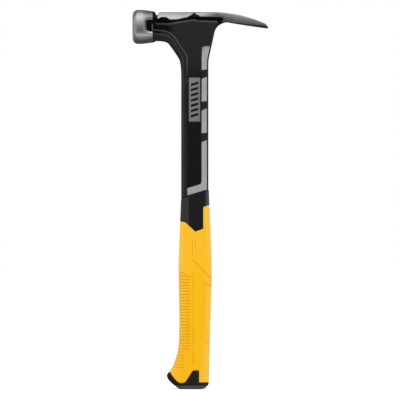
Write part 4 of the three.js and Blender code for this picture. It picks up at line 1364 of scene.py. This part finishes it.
soft_yellow = moulded(
    "soft_yellow", dark=(0.765, 0.395, 0.001, 1), light=(0.80, 0.42, 0.001, 1),
    scale=1400, rough=0.5, specular=0.1, sheen=0.1,
    edge=(0.92, 0.54, 0.03, 1), hollow=(0.55, 0.24, 0.004, 1),
    painted_sheen=(0.79, 0.455, 0.045, 1), crease=(0.42, 0.18, 0.003, 1))
hard_black = moulded(
    "hard_black", dark=grey(0.004), light=grey(0.007),
    scale=1600, rough=0.5, specular=0.2, edge=grey(0.05), painted_sheen=grey(0.045))
butt_rubber = moulded(
    "butt_rubber", dark=grey(0.006), light=grey(0.010),
    scale=1800, rough=0.55, specular=0.25, edge=grey(0.04), painted_sheen=grey(0.075))
satin_grey = moulded(
    "satin_grey", dark=grey(0.265), light=grey(0.325),
    scale=1500, rough=0.42, specular=0.4, edge=grey(0.42), hollow=grey(0.12))
plate_grey = moulded(
    "plate_grey", dark=grey(0.13), light=grey(0.17),
    scale=1500, rough=0.45, specular=0.4, edge=grey(0.3), hollow=grey(0.05))

dress(steel_body, steel_material(), "steel", "steel_body")
dress(sleeve_piece, soft_yellow, "grip_yellow", "grip_sleeve")
dress(core_piece, hard_black, "grip_black", "grip_core")
dress(butt_piece, butt_rubber, "butt_black", "butt_cap")
for piece, node in inlays:
    dress(piece, satin_grey, "inlay", node)
for piece, node in plates:
    dress(piece, plate_grey, "plate", node)

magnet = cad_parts["nail_magnet"]
magnet.data.materials.clear()
magnet.data.materials.append(magnet_material())


# Studio, in metres: pale floor, soft lamps, bright surroundings
# What bare steel mirrors: (place, level) stops across the floor, and up the front and back of the room

FLOOR_REACH = 12
FLOOR_STRIP = [
    (-1.2, 0.24), (-0.6, 0.26), (-0.4, 0.4), (-0.24, 1.0), (-0.14, 0.42), (0, 0.22), (0.12, 0.1), (0.6, 0.12),
]
FRONT_ROOM = [(-0.1, 0.24), (0, 0.27), (0.29, 0.52), (0.63, 0.84), (0.88, 1.3), (0.97, 1.5), (1, 1.15)]
BACK_ROOM = [
    (-0.1, 0.24), (0, 0.27), (0.17, 0.4), (0.6, 0.25), (0.75, 0.2), (0.87, 0.36), (0.95, 0.58), (1, 1.15),
]
ASIDE_GREY = grey(0.6)
FLOOR_GREY = grey(0.88)
FLOOR_GLOW = grey(0.22)


def parts_of(tree, coordinate):
    """X, Y and Z of a texture coordinate."""
    place = add(tree, "ShaderNodeTexCoord").outputs[coordinate]
    return add(tree, "ShaderNodeSeparateXYZ", {"Vector": place}).outputs


def seen_in_gloss(tree):
    return add(tree, "ShaderNodeLightPath").outputs["Is Glossy Ray"]


def pale_floor():
    made, tree, shader = material("pale_floor")
    place = parts_of(tree, "Object")
    strip = grey_along(place["Y"], FLOOR_STRIP)
    aside = spread(math_node("ABSOLUTE", place["X"]), 0.3, 0.8, 0.0, 0.7)
    mirrored = seen_in_gloss(tree)
    feed(shader, {
        "Base Color": mix(mirrored, FLOOR_GREY, grey(0)),
        "Emission Color": mix(mirrored, FLOOR_GLOW, mix(aside, strip, ASIDE_GREY)),
        "Emission Strength": 1.0,
        "Roughness": 0.9,
        "Specular IOR Level": 0.0,
    })
    return made


def surroundings():
    world = bpy.data.worlds.new("studio")
    world.use_nodes = True
    tree = world.node_tree
    direction = parts_of(tree, "Generated")
    front = grey_along(direction["Z"], FRONT_ROOM)
    back = grey_along(direction["Z"], BACK_ROOM)
    room = mix(spread(direction["Y"], -0.25, 0.25), front, back)
    aside = spread(math_node("ABSOLUTE", direction["X"]), 0.5, 0.95, 0.0, 0.6)
    mirrored = mix(aside, room, ASIDE_GREY)
    feed(tree.nodes["Background"], {
        "Color": mix(seen_in_gloss(tree), grey(1), mirrored),
        "Strength": 1.0,
    })
    return world


def lamp(name, place, aim, size, power):
    data = bpy.data.lights.new(name, "AREA")
    data.shape = "RECTANGLE"
    data.size, data.size_y = size
    data.energy = power
    made = placed(name, data)
    made.location = place
    made.visible_glossy = False
    made.rotation_euler = (Vector(aim) - Vector(place)).to_track_quat("-Z", "Y").to_euler()


floor_mesh = bpy.data.meshes.new("floor")
floor_corners = [(sx * FLOOR_REACH, sy * FLOOR_REACH, 0) for sx, sy in ((-1, -1), (1, -1), (1, 1), (-1, 1))]
floor_mesh.from_pydata(floor_corners, [], [(0, 1, 2, 3)])
floor = placed("floor", floor_mesh)
floor_mesh.materials.append(pale_floor())
bpy.context.scene.world = surroundings()

lamp("left_box", place=(-2.0, -1.1, 0.9), aim=(0, 0, 0.25), size=(1.2, 1.6), power=3.8)
lamp("right_box", place=(2.1, -0.9, 0.8), aim=(0, 0, 0.2), size=(1.0, 1.6), power=4)
lamp("top_box", place=(-0.3, -1.5, 2.0), aim=(0, 0, 0.3), size=(2.4, 1.2), power=9)

# Camera at the photograph's angle: the frame is 428 mm wide at the plane of the hammer
VIEW_MIDDLE_X = 0.00535
VIEW_MIDDLE_Z = 0.2022
VIEW_DISTANCE = 7.134

lens = bpy.data.cameras.new("camera")
lens.lens = 600
lens.sensor_width = 36
camera = placed("camera", lens)
camera.location = (VIEW_MIDDLE_X, -VIEW_DISTANCE, VIEW_MIDDLE_Z)
camera.rotation_euler = (math.pi / 2, 0, 0)
bpy.context.scene.camera = camera
bpy.context.scene.view_settings.view_transform = "Standard"
